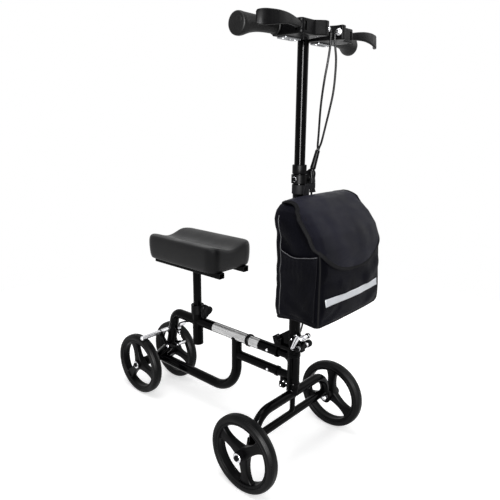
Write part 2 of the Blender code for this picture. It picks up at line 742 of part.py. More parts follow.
def front_axle_beam(steerer):
    """Arch, lower tube, middle strut and dropouts, with the steerer that turns in the head tube."""
    foot = AXLE_Z + ARCH_FOOT
    arch = [(-ARCH_HALF, STEER_Y, foot), (-ARCH_HALF, STEER_Y, ARCH_Z),
            (ARCH_HALF, STEER_Y, ARCH_Z), (ARCH_HALF, STEER_Y, foot)]
    body = sweep(rounded_path(arch, [ARCH_BEND, ARCH_BEND], 5), ARCH_RADIUS)
    cross_z = AXLE_Z + CROSS_RISE
    cross = rod((-ARCH_HALF, STEER_Y, cross_z), (ARCH_HALF, STEER_Y, cross_z), CROSS_RADIUS)
    strut = rod((0, STEER_Y, cross_z), (0, STEER_Y, ARCH_Z), STRUT_RADIUS, 16)
    steerer_tube = lathe([(0, ARCH_Z), (HEAD_RADIUS, ARCH_Z), (HEAD_RADIUS + 0.001, CROWN_TOP - 0.001),
                          (HEAD_RADIUS, CROWN_TOP), (STEERER_RADIUS, CROWN_TOP),
                          (STEERER_RADIUS, SOCKET_LOW + 0.010), (0, SOCKET_LOW + 0.010)],
                         "Z", (0, STEER_Y, 0), FINE)
    plates = []
    for side in SIDES.values():
        outline = arc((STEER_Y, AXLE_Z), DROPOUT_RADIUS, 180, 360, 6)
        outline += [(STEER_Y + 0.013, AXLE_Z + 0.024), (STEER_Y - 0.013, AXLE_Z + 0.024)]
        plates.append(prism(outline, (DROPOUT_FACE - DROPOUT_THICKNESS) * side, DROPOUT_FACE * side, "X"))
    join(body, cross, strut, steerer_tube, *plates)
    axle = hole((-0.2, STEER_Y, AXLE_Z), (0.2, STEER_Y, AXLE_Z), AXLE_RADIUS, SMALL)
    cut(body, axle)
    finish(body, "front_axle_beam", "frame_paint", steerer)


# Fold hinge

def hinge_base(steerer):
    """Forged base on the steerer: two ears round the pin, forked tongue for the skewer, rear wing.

    The fork's mouth widens upward, because the skewer swings out of it round the pin.
    """
    low = HINGE_TOP - HINGE_PLATE
    body = lathe([(0, SOCKET_LOW), (SOCKET_RADIUS - 0.001, SOCKET_LOW), (SOCKET_RADIUS, SOCKET_LOW + 0.001),
                  (SOCKET_RADIUS, low + 0.001), (0, low + 0.001)], "Z", (0, STEER_Y, 0), FINE)
    front = SKEWER_Y - 0.0078
    back = PIVOT_Y + 0.014
    wide = EAR_OUT + 0.0006
    outline = rounded_outline([(-0.0115, STEER_Y - 0.016), (0.0115, STEER_Y - 0.016), (wide, STEER_Y), (wide, back),
                               (-wide, back), (-wide, STEER_Y)], [0.003, 0.003, 0.012, 0.004, 0.004, 0.012])
    plate = prism(outline, low, HINGE_TOP)
    ears = []
    ear = arc((PIVOT_Y, PIVOT_Z), KNUCKLE_RADIUS, 0, 180) + [(PIVOT_Y - KNUCKLE_RADIUS, low + 0.002),
                                                            (PIVOT_Y + KNUCKLE_RADIUS, low + 0.002)]
    for side in SIDES.values():
        pin = hole((-0.03, PIVOT_Y, PIVOT_Z), (0.03, PIVOT_Y, PIVOT_Z), PIN_RADIUS, SMALL)
        ears.append(cut(prism(ear, (KNUCKLE_HALF + GAP) * side, EAR_OUT * side, "X"), pin))
    tip = front + 0.0005
    heel = SKEWER_Y + 0.0075
    tongue = prism(rounded_outline([(tip, low + 0.001), (STEER_Y - 0.010, low + 0.001),
                                    (STEER_Y - 0.010, HINGE_TOP - 0.001), (heel, HINGE_TOP - 0.001),
                                    (heel, SKEWER_Z + 0.009), (tip, SKEWER_Z + 0.009)],
                                   [0.003, 0, 0, 0, 0.002, 0.003]), -TONGUE_HALF, TONGUE_HALF, "X")
    throat = SKEWER_RADIUS + GAP
    clear = 0.02
    reach = PIVOT_Y - SKEWER_Y
    behind = clear ** 2 / (2 * reach)
    ahead = clear * (PIVOT_Z - SKEWER_Z) / reach
    fork = arc((SKEWER_Y, SKEWER_Z), throat, 180, 360, 6)
    fork += [(SKEWER_Y + throat + behind, SKEWER_Z + clear), (SKEWER_Y - throat - ahead, SKEWER_Z + clear)]
    cut(tongue, prism(fork, -0.03, 0.03, "X"))
    wing = prism([(back - 0.004, low + 0.0006), (back + 0.004, low + 0.0006),
                  (back + 0.0105, HINGE_TOP + 0.0118), (back + 0.0065, HINGE_TOP + 0.0135),
                  (back + 0.001, HINGE_TOP - 0.0004), (back - 0.004, HINGE_TOP - 0.0004)], -0.012, 0.012, "X")
    join(body, plate, *ears, tongue, wing)
    steerer_bore = rod((0, STEER_Y, SOCKET_LOW - 0.01), (0, STEER_Y, SOCKET_LOW + 0.010 + GAP),
                       STEERER_RADIUS + GAP, FINE)
    cut(body, steerer_bore)
    finish(body, "hinge_base", "frame_paint", steerer)
    outer = EAR_OUT + GAP
    head = 0.0025
    rivet = lathe([(0, -outer - head), (PIN_HEAD * 0.7, -outer - head), (PIN_HEAD, -outer - head * 0.5),
                   (PIN_HEAD, -outer), (PIN_RADIUS, -outer), (PIN_RADIUS, outer), (PIN_HEAD, outer),
                   (PIN_HEAD, outer + head * 0.5), (PIN_HEAD * 0.7, outer + head), (0, outer + head)],
                  "X", (0, PIVOT_Y, PIVOT_Z), SMALL)
    finish(rivet, "hinge_pin", "zinc", steerer)


def outer_column(column):
    """Outer column with its hinge yoke: rear knuckle, sloped web and two front lugs."""
    yoke_top = COLUMN_LOW + YOKE_HEIGHT
    body = lathe([(0, COLUMN_LOW), (YOKE_RADIUS, COLUMN_LOW), (YOKE_RADIUS, yoke_top - 0.003),
                  (COLUMN_RADIUS + 0.0008, yoke_top), (COLUMN_RADIUS, yoke_top + 0.0005),
                  (COLUMN_RADIUS, COLUMN_TOP), (0, COLUMN_TOP)], "Z", (0, STEER_Y, 0))
    web = [(STEER_Y + 0.006, COLUMN_LOW + 0.0002), (PIVOT_Y, COLUMN_LOW + 0.0002)]
    web += arc((PIVOT_Y, PIVOT_Z), PIVOT_Z - COLUMN_LOW - 0.0002, -80, 45, 7)
    web += [(STEER_Y + 0.014, yoke_top + 0.006), (STEER_Y + 0.006, yoke_top + 0.006)]
    knuckle = prism(web, -KNUCKLE_HALF, KNUCKLE_HALF, "X")
    before = STEER_Y - SOCKET_RADIUS - GAP * 2
    lug = arc((SKEWER_Y, SKEWER_Z), LUG_RADIUS, 270, 120)
    lug += [(STEER_Y - 0.010, SKEWER_Z + 0.030), (STEER_Y - 0.010, COLUMN_LOW + 0.0004),
            (before, COLUMN_LOW + 0.0004), (before, SKEWER_Z - LUG_RADIUS)]
    lugs = [prism(lug, (TONGUE_HALF + GAP * 2) * side, LUG_OUT * side, "X") for side in SIDES.values()]
    join(body, knuckle, *lugs)
    bore = hole((0, STEER_Y, COLUMN_LOW + BORE_RISE), (0, STEER_Y, COLUMN_TOP + 0.01), INNER_RADIUS)
    pin = hole((-0.03, PIVOT_Y, PIVOT_Z), (0.03, PIVOT_Y, PIVOT_Z), PIN_RADIUS, SMALL)
    skewer = hole((-0.03, SKEWER_Y, SKEWER_Z), (0.03, SKEWER_Y, SKEWER_Z), SKEWER_RADIUS, SMALL)
    room = TONGUE_HALF + GAP * 2
    notch = block((-room, SKEWER_Y - 0.02, COLUMN_LOW - 0.01), (room, SKEWER_Y + 0.0092, SKEWER_Z + 0.012))
    key = hole((-0.03, STEER_Y, CLAMP_Z), (0, STEER_Y, CLAMP_Z), 0.0025, SMALL)
    knob = hole((0, STEER_Y, CLAMP_Z), (0.03, STEER_Y, CLAMP_Z), KNOB_SHANK, SMALL)
    cut(body, bore, pin, skewer, notch, key, knob)
    finish(body, "outer_column", "frame_paint", column)


def quick_release(column, lever_carrier):
    """Skewer through lugs and tongue, its nut, and the curved cam lever on the right."""
    place = (0, SKEWER_Y, SKEWER_Z)
    inner = LUG_OUT + GAP
    washer = 0.003
    skewer = lathe([(0, -inner - washer), (0.0065, -inner - washer), (0.0065, -inner),
                    (SKEWER_RADIUS, -inner), (SKEWER_RADIUS, inner + 0.022), (0, inner + 0.022)],
                   "X", place, SMALL)
    finish(skewer, "qr_skewer", "zinc", column)
    bore = SKEWER_RADIUS + GAP
    nut = lathe([(bore, inner), (0.0060, inner), (0.0060, inner + 0.003), (0.0045, inner + 0.0035),
                 (0.0045, inner + 0.009), (0.0088, inner + 0.0095), (0.0095, inner + 0.011),
                 (0.0095, inner + 0.021), (0.0080, inner + 0.024), (0, inner + 0.0245),
                 (0, inner + 0.022 + GAP), (bore, inner + 0.022 + GAP)], "X", place, SMALL + 2)
    finish(nut, "qr_nut", "black_plastic", column)
    cam_x = -(inner + washer + GAP + CAM_RADIUS)
    centre = Vector((cam_x, SKEWER_Y, SKEWER_Z))
    along = Vector((0, -0.184, 0.983))
    cam_axis = Vector((0, 0.983, 0.184))
    barrel = rod(centre - cam_axis * 0.0055, centre + cam_axis * 0.0055, CAM_RADIUS, SMALL + 2)
    rings = []
    for share, bow, width, depth in ((0.06, 0.0, 0.0040, 0.0024), (0.3, 0.0018, 0.0040, 0.0019),
                                     (0.6, 0.0026, 0.0041, 0.0017), (0.85, 0.0018, 0.0043, 0.0017),
                                     (1.0, 0.0006, 0.0040, 0.0016)):
        spot = centre + along * (LEVER_LENGTH * share) + Vector((-bow - 0.0008, 0, 0))
        ring = []
        for across, deep in rounded_box(width, depth, 0.0012):
            ring.append(spot + cam_axis * across + Vector((deep, 0, 0)))
        rings.append(ring)
    lever = join(barrel, loft(rings))
    finish(lever, "qr_lever", "zinc", lever_carrier)


# Column top

def column_top(column, knob_carrier):
    """Bush, clamp with a boss, guide screw on the right and the three-lobed knob on the left."""
    low = COLUMN_TOP + GAP
    high = low + BUSH_HEIGHT
    inner = INNER_RADIUS + GAP
    bush = lathe([(inner, low), (BUSH_RADIUS - 0.002, low), (BUSH_RADIUS, low + 0.002),
                  (BUSH_RADIUS, high - 0.0008), (BUSH_RADIUS - 0.0008, high), (inner, high)],
                 "Z", (0, STEER_Y, 0))
    finish(bush, "column_bush", "black_plastic", column)
    half = CLAMP_HEIGHT / 2
    clamp = lathe([(COLUMN_RADIUS + GAP, CLAMP_Z - half), (CLAMP_RADIUS - 0.001, CLAMP_Z - half),
                   (CLAMP_RADIUS, CLAMP_Z - half + 0.001), (CLAMP_RADIUS, CLAMP_Z + half - 0.001),
                   (CLAMP_RADIUS - 0.001, CLAMP_Z + half), (COLUMN_RADIUS + GAP, CLAMP_Z + half)],
                  "Z", (0, STEER_Y, 0))
    boss = lathe([(KNOB_SHANK + GAP, COLUMN_RADIUS + 0.001), (BOSS_RADIUS, COLUMN_RADIUS + 0.001),
                  (BOSS_RADIUS, KNOB_STANDOFF - 0.001), (BOSS_RADIUS - 0.001, KNOB_STANDOFF),
                  (KNOB_SHANK + GAP, KNOB_STANDOFF)], "X", (0, STEER_Y, CLAMP_Z), SMALL)
    join(clamp, boss)
    shank_bore = hole((0, STEER_Y, CLAMP_Z), (0.03, STEER_Y, CLAMP_Z), KNOB_SHANK, SMALL)
    key_bore = hole((-0.03, STEER_Y, CLAMP_Z), (0, STEER_Y, CLAMP_Z), 0.0025, SMALL)
    cut(clamp, shank_bore, key_bore)
    finish(clamp, "column_clamp", "black_plastic", column)
    base = CLAMP_RADIUS + GAP
    screw = lathe([(0, -INNER_RADIUS - GAP * 2), (0.0025, -INNER_RADIUS - GAP * 2), (0.0025, -base),
                   (0.0060, -base), (0.0060, -base - 0.0012), (0.0050, -base - 0.0012),
                   (0.0048, -base - 0.004), (0.0025, -base - 0.006), (0, -base - 0.006)],
                  "X", (0, STEER_Y, CLAMP_Z), SMALL)
    finish(screw, "clamp_bolt", "black_plastic", column)
    lobed_knob("column_knob", "X", 1, STEER_Y, CLAMP_Z, KNOB_STANDOFF + GAP, INNER_RADIUS + KNOB_SLACK,
               knob_carrier)


def lobed_knob(name, axis, way, across, height, start, tip, carrier):
    """Three-lobed hand knob on a shank. Way is the side along the axis that the knob faces."""
    outline = []
    for index in range(24):
        turn = 2 * pi * index / 24
        swell = 0.84 + 0.16 * cos(3 * turn)
        outline.append((KNOB_RADIUS * swell * cos(turn), KNOB_RADIUS * swell * sin(turn)))
    levels = ((0.0, 0.42), (0.36, 0.46), (0.42, 0.96), (0.84, 1.0), (1.0, 0.82))
    rings = []
    for share, scale in levels:
        along = (start + KNOB_THICKNESS * share) * way
        if scale < 0.6:
            ring = [(KNOB_RADIUS * scale * cos(2 * pi * i / 24), KNOB_RADIUS * scale * sin(2 * pi * i / 24))
                    for i in range(24)]
        else:
            ring = [(first * scale, second * scale) for first, second in outline]
        if axis == "X":
            rings.append([Vector((along, across + first, height + second)) for first, second in ring])
        else:
            rings.append([Vector((first, across + along, height + second)) for first, second in ring])
    body = loft(rings)
    inside = start + KNOB_THICKNESS * 0.5
    if axis == "X":
        shank = rod((tip * way, across, height), (inside * way, across, height), KNOB_SHANK, SMALL)
    else:
        shank = rod((0, across + tip * way, height), (0, across + inside * way, height), KNOB_SHANK, SMALL)
    join(body, shank)
    finish(body, name, "black_plastic", carrier)


# Handlebar

def handlebar_group(handlebar, lever_carriers):
    """Inner column with its tee, bar, grips, brake housings, levers and adjusters."""
    column = rod((0, STEER_Y, INNER_LOW), (0, STEER_Y, BAR_Z), INNER_RADIUS)
    tee = rod((-TEE_HALF, STEER_Y, BAR_Z), (TEE_HALF, STEER_Y, BAR_Z), TEE_RADIUS)
    join(column, tee)
    bar_bore = hole((-0.03, STEER_Y, BAR_Z), (0.03, STEER_Y, BAR_Z), BAR_RADIUS)
    cut(column, bar_bore)
    finish(column, "inner_column", "frame_paint", handlebar)
    bar = rod((-BAR_HALF, STEER_Y, BAR_Z), (BAR_HALF, STEER_Y, BAR_Z), BAR_RADIUS)
    finish(bar, "handlebar", "frame_paint", handlebar)
    for label, side in SIDES.items():
        grip(label, side, handlebar)
        brake_housing(label, side, handlebar)
        brake_lever(label, side, lever_carriers[label])


def grip(label, side, handlebar):
    """Grip with a round neck that swells into a palm rest at its outer end."""
    stations = ((0.0, 0.0165, 0.0165, 0.0, 0.0), (0.05, GRIP_NECK, GRIP_NECK, 0.0, 0.0),
                (0.28, GRIP_NECK, GRIP_NECK, 0.0003, -0.0005), (0.5, 0.0162, 0.0160, 0.0014, -0.0012),
                (0.7, 0.0188, 0.0185, 0.0038, -0.0030), (0.9, 0.0234, 0.0231, 0.0079, -0.0062),
                (0.975, 0.0230, 0.0227, 0.0080, -0.0062), (1.0, 0.0200, 0.0198, 0.0074, -0.0056))
    rings = []
    for share, deep, tall, back, lift in stations:
        x = (GRIP_START + (GRIP_END - GRIP_START) * share) * side
        ring = []
        for index in range(14):
            turn = 2 * pi * index / 14
            ring.append(Vector((x, STEER_Y + back + deep * cos(turn), BAR_Z + lift + tall * sin(turn))))
        rings.append(ring)
    body = loft(rings)
    bore = hole((0.08 * side, STEER_Y, BAR_Z), ((BAR_HALF + GAP) * side, STEER_Y, BAR_Z), BAR_RADIUS)
    vent = rod((BAR_HALF * side, STEER_Y, BAR_Z), ((GRIP_END + 0.01) * side, STEER_Y, BAR_Z), 0.003, SMALL)
    cut(body, bore, vent)
    finish(body, "grip_" + label, "black_rubber", handlebar, 50)


def brake_housing(label, side, handlebar):
    """Moulded housing round the bar, forked at its nose for the lever, with adjuster and clamp plate."""
    inner = TEE_HALF + GAP
    outer = GRIP_START - GAP
    nose_y = LEVER_PIVOT_Y - 0.008
    face = ADJUSTER_Y - 0.008
    corners = [(inner, STEER_Y + 0.010), (outer, STEER_Y + 0.010), (outer, nose_y),
               (LEVER_PIVOT_X - 0.035, nose_y), (0.038, face), (0.026, face), (0.026, face + 0.018),
               (inner, STEER_Y - 0.032)]
    outline = rounded_outline([(x * side, y) for x, y in corners],
                              [0.002, 0.002, 0.008, 0.010, 0.004, 0.003, 0.004, 0.006], 2)
    body = prism(outline, BAR_Z - HOUSING_LOW, BAR_Z + HOUSING_HIGH, "Z", 0.0018)
    barrel = rod(((inner + 0.0006) * side, STEER_Y, BAR_Z), ((outer - 0.0006) * side, STEER_Y, BAR_Z),
                 HOUSING_BARREL)
    join(body, barrel)
    bore = hole((0, STEER_Y, BAR_Z), (0.12 * side, STEER_Y, BAR_Z), BAR_RADIUS)
    middle = BAR_Z - 0.003
    reach = LEVER_ROOT_RADIUS + GAP
    room = LEVER_ROOT_HALF + GAP
    slot = prism([((LEVER_PIVOT_X - reach) * side, LEVER_PIVOT_Y - 0.03), (0.12 * side, LEVER_PIVOT_Y - 0.03),
                  (0.12 * side, LEVER_PIVOT_Y + reach), ((LEVER_PIVOT_X - reach) * side, LEVER_PIVOT_Y + reach)],
                 middle - room, middle + room)
    pin = hole((LEVER_PIVOT_X * side, LEVER_PIVOT_Y, BAR_Z - 0.03),
              (LEVER_PIVOT_X * side, LEVER_PIVOT_Y, BAR_Z + 0.03), LEVER_PIN_RADIUS, SMALL)
    thread = hole((0.02 * side, ADJUSTER_Y, ADJUSTER_Z), (0.036 * side, ADJUSTER_Y, ADJUSTER_Z),
                  THREAD_RADIUS, SMALL)
    cut(body, bore, slot, pin, thread)
    finish(body, "brake_housing_" + label, "black_plastic", handlebar)
    adjuster = lathe([(0, 0.0175 * side), (0.0036, 0.0175 * side), (0.0036, 0.0205 * side),
                      (WHEEL_KNURL_RADIUS - 0.001, 0.0205 * side), (WHEEL_KNURL_RADIUS, 0.0212 * side),
                      (WHEEL_KNURL_RADIUS, 0.0248 * side), (WHEEL_KNURL_RADIUS - 0.001, 0.0256 * side),
                      (THREAD_RADIUS, 0.0256 * side), (THREAD_RADIUS, 0.0345 * side), (0, 0.0345 * side)],
                     "X", (0, ADJUSTER_Y, ADJUSTER_Z), SMALL)
    finish(adjuster, "barrel_adjuster_" + label, "zinc", handlebar)
    top = BAR_Z - HOUSING_LOW - GAP
    plate_corners = [(0.034, STEER_Y - 0.020), (0.088, STEER_Y - 0.020), (0.088, STEER_Y + 0.007),
                     (0.034, STEER_Y + 0.007)]
    plate = prism(rounded_outline([(x * side, y) for x, y in plate_corners], 0.004), top - CLAMP_PLATE, top)
    long_slot = 0.020 if side > 0 else 0.008
    window = block((0.061 * side - long_slot, STEER_Y - 0.011, top - 0.01),
                   (0.061 * side + long_slot, STEER_Y - 0.003, top + 0.01))
    cut(plate, window)
    finish(plate, "housing_clamp_" + label, "clamp_grey", handlebar)


def brake_lever(label, side, carrier):
    """Moulded lever: bowed forward in plan, arched in height, taller at its outer end."""
    middle = BAR_Z - 0.003
    stations = ((0.086, 0.0, 0.0, 0.0045, 0.0078), (0.102, -0.0025, 0.0010, 0.0045, 0.0082),
                (0.124, -0.0070, 0.0034, 0.0039, 0.0093), (0.148, -0.0104, 0.0047, 0.0035, 0.0107),
                (0.174, -0.0110, 0.0034, 0.0034, 0.0128), (0.200, -0.0070, 0.0008, 0.0034, 0.0146),
                (0.213, -0.0014, -0.0004, 0.0034, 0.0148), (0.2222, 0.0078, -0.0012, 0.0028, 0.0126))
    spots = [Vector((x * side, LEVER_PIVOT_Y + ahead, middle + lift)) for x, ahead, lift, _, _ in stations]
    rings = []
    for index, (_, _, _, thick, tall) in enumerate(stations):
        back = spots[max(index - 1, 0)]
        ahead = spots[min(index + 1, len(spots) - 1)]
        heading = (ahead - back)
        heading.z = 0
        heading.normalize()
        facing = Vector((-heading.y, heading.x, 0))
        ring = []
        for deep, height in rounded_box(thick, tall, min(thick, tall) * 0.8):
            curl = 0.0022 * (height / tall) ** 2 * side
            ring.append(spots[index] + facing * (deep + curl) + Vector((0, 0, height)))
        rings.append(ring)
    arm = loft(rings)
    low = -LEVER_ROOT_HALF
    high = LEVER_ROOT_HALF
    pin_low = -(HOUSING_LOW - 0.003)
    pin_high = HOUSING_HIGH + 0.003
    root = lathe([(0, pin_low), (LEVER_PIN_RADIUS, pin_low), (LEVER_PIN_RADIUS, low), (LEVER_ROOT_RADIUS, low),
                  (LEVER_ROOT_RADIUS, high), (LEVER_PIN_RADIUS, high), (LEVER_PIN_RADIUS, pin_high),
                  (0, pin_high)], "Z", (LEVER_PIVOT_X * side, LEVER_PIVOT_Y, middle), SMALL + 2)
    join(root, arm)
    finish(root, "brake_lever_" + label, "black_plastic", carrier, 50)


# Cables

def cables(handlebar, column, frame):
    """Two lever cables into a junction, then one cable down the column and along the frame."""
    top = Vector((0.0270, -0.2890, CLAMP_Z + 0.0675))
    foot = Vector((0.0220, -0.2795, CLAMP_Z + 0.0230))
    run = (foot - top).normalized()
    finish(sweep([top, top + run * 0.006, foot - run * 0.012, foot],
                 [JUNCTION_RADIUS * 0.95, JUNCTION_RADIUS, JUNCTION_RADIUS, JUNCTION_RADIUS * 0.6], 16),
           "cable_junction", "black_plastic", column)
    end = 0.0175 - GAP
    right = [(-end, ADJUSTER_Y, ADJUSTER_Z), (-end + 0.002, ADJUSTER_Y, ADJUSTER_Z), (-0.0105, -0.3346, ADJUSTER_Z - 0.0012),
             (-0.0060, -0.3340, ADJUSTER_Z - 0.0080), (-0.0080, -0.3340, 1.0400), (-0.0112, -0.3318, 1.0100),
             (-0.0112, -0.3262, 0.9800), (-0.0055, -0.3170, 0.9430), (0.0030, -0.3080, 0.9080),
             (0.0150, -0.2980, 0.8630), (0.0225, -0.2912, 0.8320)]
    left = [(end, ADJUSTER_Y, ADJUSTER_Z), (end - 0.002, ADJUSTER_Y, ADJUSTER_Z), (0.0110, -0.3354, ADJUSTER_Z - 0.0012),
            (0.0068, -0.3356, ADJUSTER_Z - 0.0085), (0.0090, -0.3364, 1.0450), (0.0150, -0.3360, 1.0200),
            (0.0205, -0.3320, 0.9850), (0.0240, -0.3265, 0.9500), (0.0265, -0.3175, 0.9150),
            (0.0285, -0.3075, 0.8800), (0.0305, -0.2965, 0.8420)]
    side_step = (Vector((1, 0, 0)) - run * run.x).normalized() * 0.0029
    for label, route, shift in (("right", right, -side_step), ("left", left, side_step)):
        stop = top - run * GAP + shift
        path = smooth_path(route + [tuple(stop - run * 0.006), tuple(stop)], 0.013)
        finish(sweep(path, CABLE_RADIUS, 8), "cable_upper_" + label, "cable_black", handlebar, 60)
    start = foot + run * GAP
    lower = [tuple(start), tuple(start + run * 0.008), (0.0222, -0.2782, CLAMP_Z - 0.014),
             (0.0240, -0.2774, CLAMP_Z - 0.040), (0.0275, -0.2772, 0.6700), (0.0280, -0.2772, 0.6000),
             (0.0280, -0.2772, 0.5200), (0.0285, -0.2765, 0.4600), (0.0295, -0.2720, 0.4250),
             (0.0303, -0.2660, 0.4060), (0.0306, -0.2645, 0.4000)]
    finish(sweep(smooth_path(lower, 0.015), CABLE_RADIUS, 8), "cable_lower", "cable_black", column, 60)
    beside = TUBE_RADIUS + CABLE_RADIUS + GAP * 2
    joinery = (0.0306, -0.2645, 0.4000 - GAP)
    frame_route = [joinery, (0.0312, -0.2600, 0.3750), (0.0310, -0.2520, 0.3450), (0.0285, -0.2380, 0.3220),
                   (0.0245, -0.2180, 0.3020), (0.0205, -0.1950, 0.2900), (beside + 0.0006, -0.1650, 0.2835),
                   (beside, -0.1200, 0.2830), (beside, -0.0500, 0.2830), (beside, 0.0300, 0.2830),
                   (beside + 0.0008, 0.0850, 0.2830), (SLEEVE_RADIUS + CABLE_RADIUS + 0.0008, SEAT_Y, 0.2805),
                   (0.0170, 0.1450, 0.2730), (0.0115, 0.1680, 0.2650), (0.0060, 0.1880, 0.2600),
                   (0.0012, 0.2020, 0.2530), (0.0, STOP_Y, STOP_Z + 0.0140), (0.0, STOP_Y, STOP_Z + 0.0095)]
    path = smooth_path(frame_route, 0.014)
    radii = [CABLE_RADIUS] * len(path)
    wire = [(0, STOP_Y, STOP_Z + 0.0093), (0, STOP_Y, STOP_Z - 0.0090),
            (0, STOP_Y - 0.002, STOP_Z - 0.0150), (0, ANCHOR_Y + 0.001, ANCHOR_Z + 0.0100),
            (0, ANCHOR_Y, ANCHOR_Z + YOKE_BOLT_RADIUS + GAP)]
    finish(sweep(path + wire, radii + [WIRE_RADIUS] * len(wire), 8), "cable_frame", "cable_black", frame, 60)


# Rear brake

def rear_brake(frame, yoke_carrier):
    """Yoke that swings a cross rod on to both rear tyres, its bolt, and the cable adjuster."""
    bearing = radians(BRAKE_BEARING)
    reach = WHEEL_RADIUS + BRAKE_ROD_RADIUS + BRAKE_SET_OFF
    rod_y = REAR_Y + reach * cos(bearing)
    rod_z = AXLE_Z + reach * sin(bearing)
    edge = BRAKE_ROD_HALF - 0.001
    body = lathe([(0, -BRAKE_ROD_HALF), (BRAKE_ROD_RADIUS - 0.001, -BRAKE_ROD_HALF), (BRAKE_ROD_RADIUS, -edge),
                  (BRAKE_ROD_RADIUS, edge), (BRAKE_ROD_RADIUS - 0.001, BRAKE_ROD_HALF), (0, BRAKE_ROD_HALF)],
                 "X", (0, rod_y, rod_z), SMALL + 2)
    anchor = rod((-0.020, ANCHOR_Y, ANCHOR_Z), (0.020, ANCHOR_Y, ANCHOR_Z), YOKE_BOLT_RADIUS, SMALL)
    outline = arc((ANCHOR_Y, ANCHOR_Z), 0.0065, 115, 255, 4)
    outline += arc((BRAKE_PIVOT_Y, BRAKE_PIVOT_Z), 0.0095, 235, 325, 3)
    outline += arc((rod_y, rod_z), 0.0085, -45, 135, 5)
    outline += [(BRAKE_PIVOT_Y + 0.004, BRAKE_PIVOT_Z + 0.0125), (BRAKE_PIVOT_Y - 0.006, BRAKE_PIVOT_Z + 0.0105)]
    inner = TUBE_RADIUS + GAP
    plates = [prism(outline, inner * side, (inner + YOKE_PLATE) * side, "X") for side in SIDES.values()]
    join(body, anchor, *plates)
    cut(body, hole((-0.03, BRAKE_PIVOT_Y, BRAKE_PIVOT_Z), (0.03, BRAKE_PIVOT_Y, BRAKE_PIVOT_Z),
                   YOKE_BOLT_RADIUS, SMALL))
    finish(body, "brake_yoke", "frame_paint", yoke_carrier)
    outer = inner + YOKE_PLATE + GAP
    bolt = lathe([(0, -outer - 0.0032), (0.0035, -outer - 0.0032), (0.0058, -outer - 0.0016), (0.0058, -outer),
                  (YOKE_BOLT_RADIUS, -outer), (YOKE_BOLT_RADIUS, outer), (0.0058, outer),
                  (0.0058, outer + 0.0035), (0, outer + 0.0035)],
                 "X", (0, BRAKE_PIVOT_Y, BRAKE_PIVOT_Z), SMALL)
    finish(bolt, "brake_pivot_bolt", "zinc", frame)
    seat = STOP_Z + 0.002 + GAP
    bore = WIRE_RADIUS + GAP
    adjuster = lathe([(bore, STOP_Z - 0.0080), (ADJUSTER_RADIUS, STOP_Z - 0.0080), (ADJUSTER_RADIUS, seat),
                      (0.0055, seat), (0.0055, seat + 0.0045), (0.0036, seat + 0.0052),
                      (0.0036, STOP_Z + 0.0091), (bore, STOP_Z + 0.0091)], "Z", (0, STOP_Y, 0), SMALL)
    finish(adjuster, "cable_adjuster_rear", "zinc", frame)


# Seat

def seat_group(frame, seat, knob_carrier):
    """Collar on the sleeve with its knob, post, bracket with two rails, and the knee pad."""
    low = SLEEVE_TOP - COLLAR_HEIGHT + 0.001
    high = SLEEVE_TOP + 0.001
    inner = SLEEVE_RADIUS + GAP
    collar = lathe([(inner, low), (COLLAR_RADIUS - 0.001, low), (COLLAR_RADIUS, low + 0.001),
                    (COLLAR_RADIUS, high - 0.001), (COLLAR_RADIUS - 0.001, high), (inner, high)],
                   "Z", (0, SEAT_Y, 0), ROUND, 0.5)
    stand = COLLAR_RADIUS + 0.0065
    boss = lathe([(0, -inner - 0.001), (BOSS_RADIUS, -inner - 0.001), (BOSS_RADIUS, -stand + 0.001),
                  (BOSS_RADIUS - 0.001, -stand), (0, -stand)], "Y", (0, SEAT_Y, KNOB_Z), SMALL)
    cut(collar, block((-SLIT_WIDTH / 2, SEAT_Y, low - 0.01), (SLIT_WIDTH / 2, SEAT_Y + 0.03, high + 0.01)))
    join(collar, boss)
    cut(collar, hole((0, SEAT_Y - 0.05, KNOB_Z), (0, SEAT_Y, KNOB_Z), KNOB_SHANK, SMALL))
    finish(collar, "seat_collar", "black_plastic", frame)
    lobed_knob("seat_knob", "Y", -1, SEAT_Y, KNOB_Z, stand + GAP, POST_RADIUS + KNOB_SLACK, knob_carrier)
    post_top = BRACKET_Z - GAP
    post_low = SLEEVE_TOP - POST_GRIP
    post = rod((0, SEAT_Y, post_low), (0, SEAT_Y, post_top), POST_RADIUS)
    finish(post, "seat_post", "frame_paint", seat)
    top = BRACKET_Z + BRACKET_THICKNESS
    corners = [(-RAIL_OUT, BRACKET_FRONT), (RAIL_OUT, BRACKET_FRONT), (RAIL_OUT, BRACKET_REAR),
               (-RAIL_OUT, BRACKET_REAR)]
    bracket = prism(rounded_outline(corners, 0.006), BRACKET_Z, top)
    rails = []
    for side in SIDES.values():
        for x in (RAIL_OUT - RAIL_WALL - 0.0007, RAIL_IN):
            edges = sorted((x * side, (x + RAIL_WALL) * side))
            rails.append(block((edges[0], BRACKET_FRONT + 0.007, BRACKET_Z - RAIL_DEPTH),
                               (edges[1], BRACKET_REAR - 0.007, BRACKET_Z + 0.001)))
    socket = lathe([(0, BRACKET_Z - 0.026), (POST_RADIUS + 0.0035, BRACKET_Z - 0.026),
                    (POST_RADIUS + 0.0035, BRACKET_Z - 0.005), (POST_RADIUS + 0.009, BRACKET_Z + 0.001),
                    (0, BRACKET_Z + 0.001)], "Z", (0, SEAT_Y, 0))
    join(bracket, *rails, socket)
    cut(bracket, hole((0, SEAT_Y, BRACKET_Z - 0.05), (0, SEAT_Y, BRACKET_Z), POST_RADIUS))
    finish(bracket, "seat_bracket", "frame_paint", seat)
    seat_pad(seat)


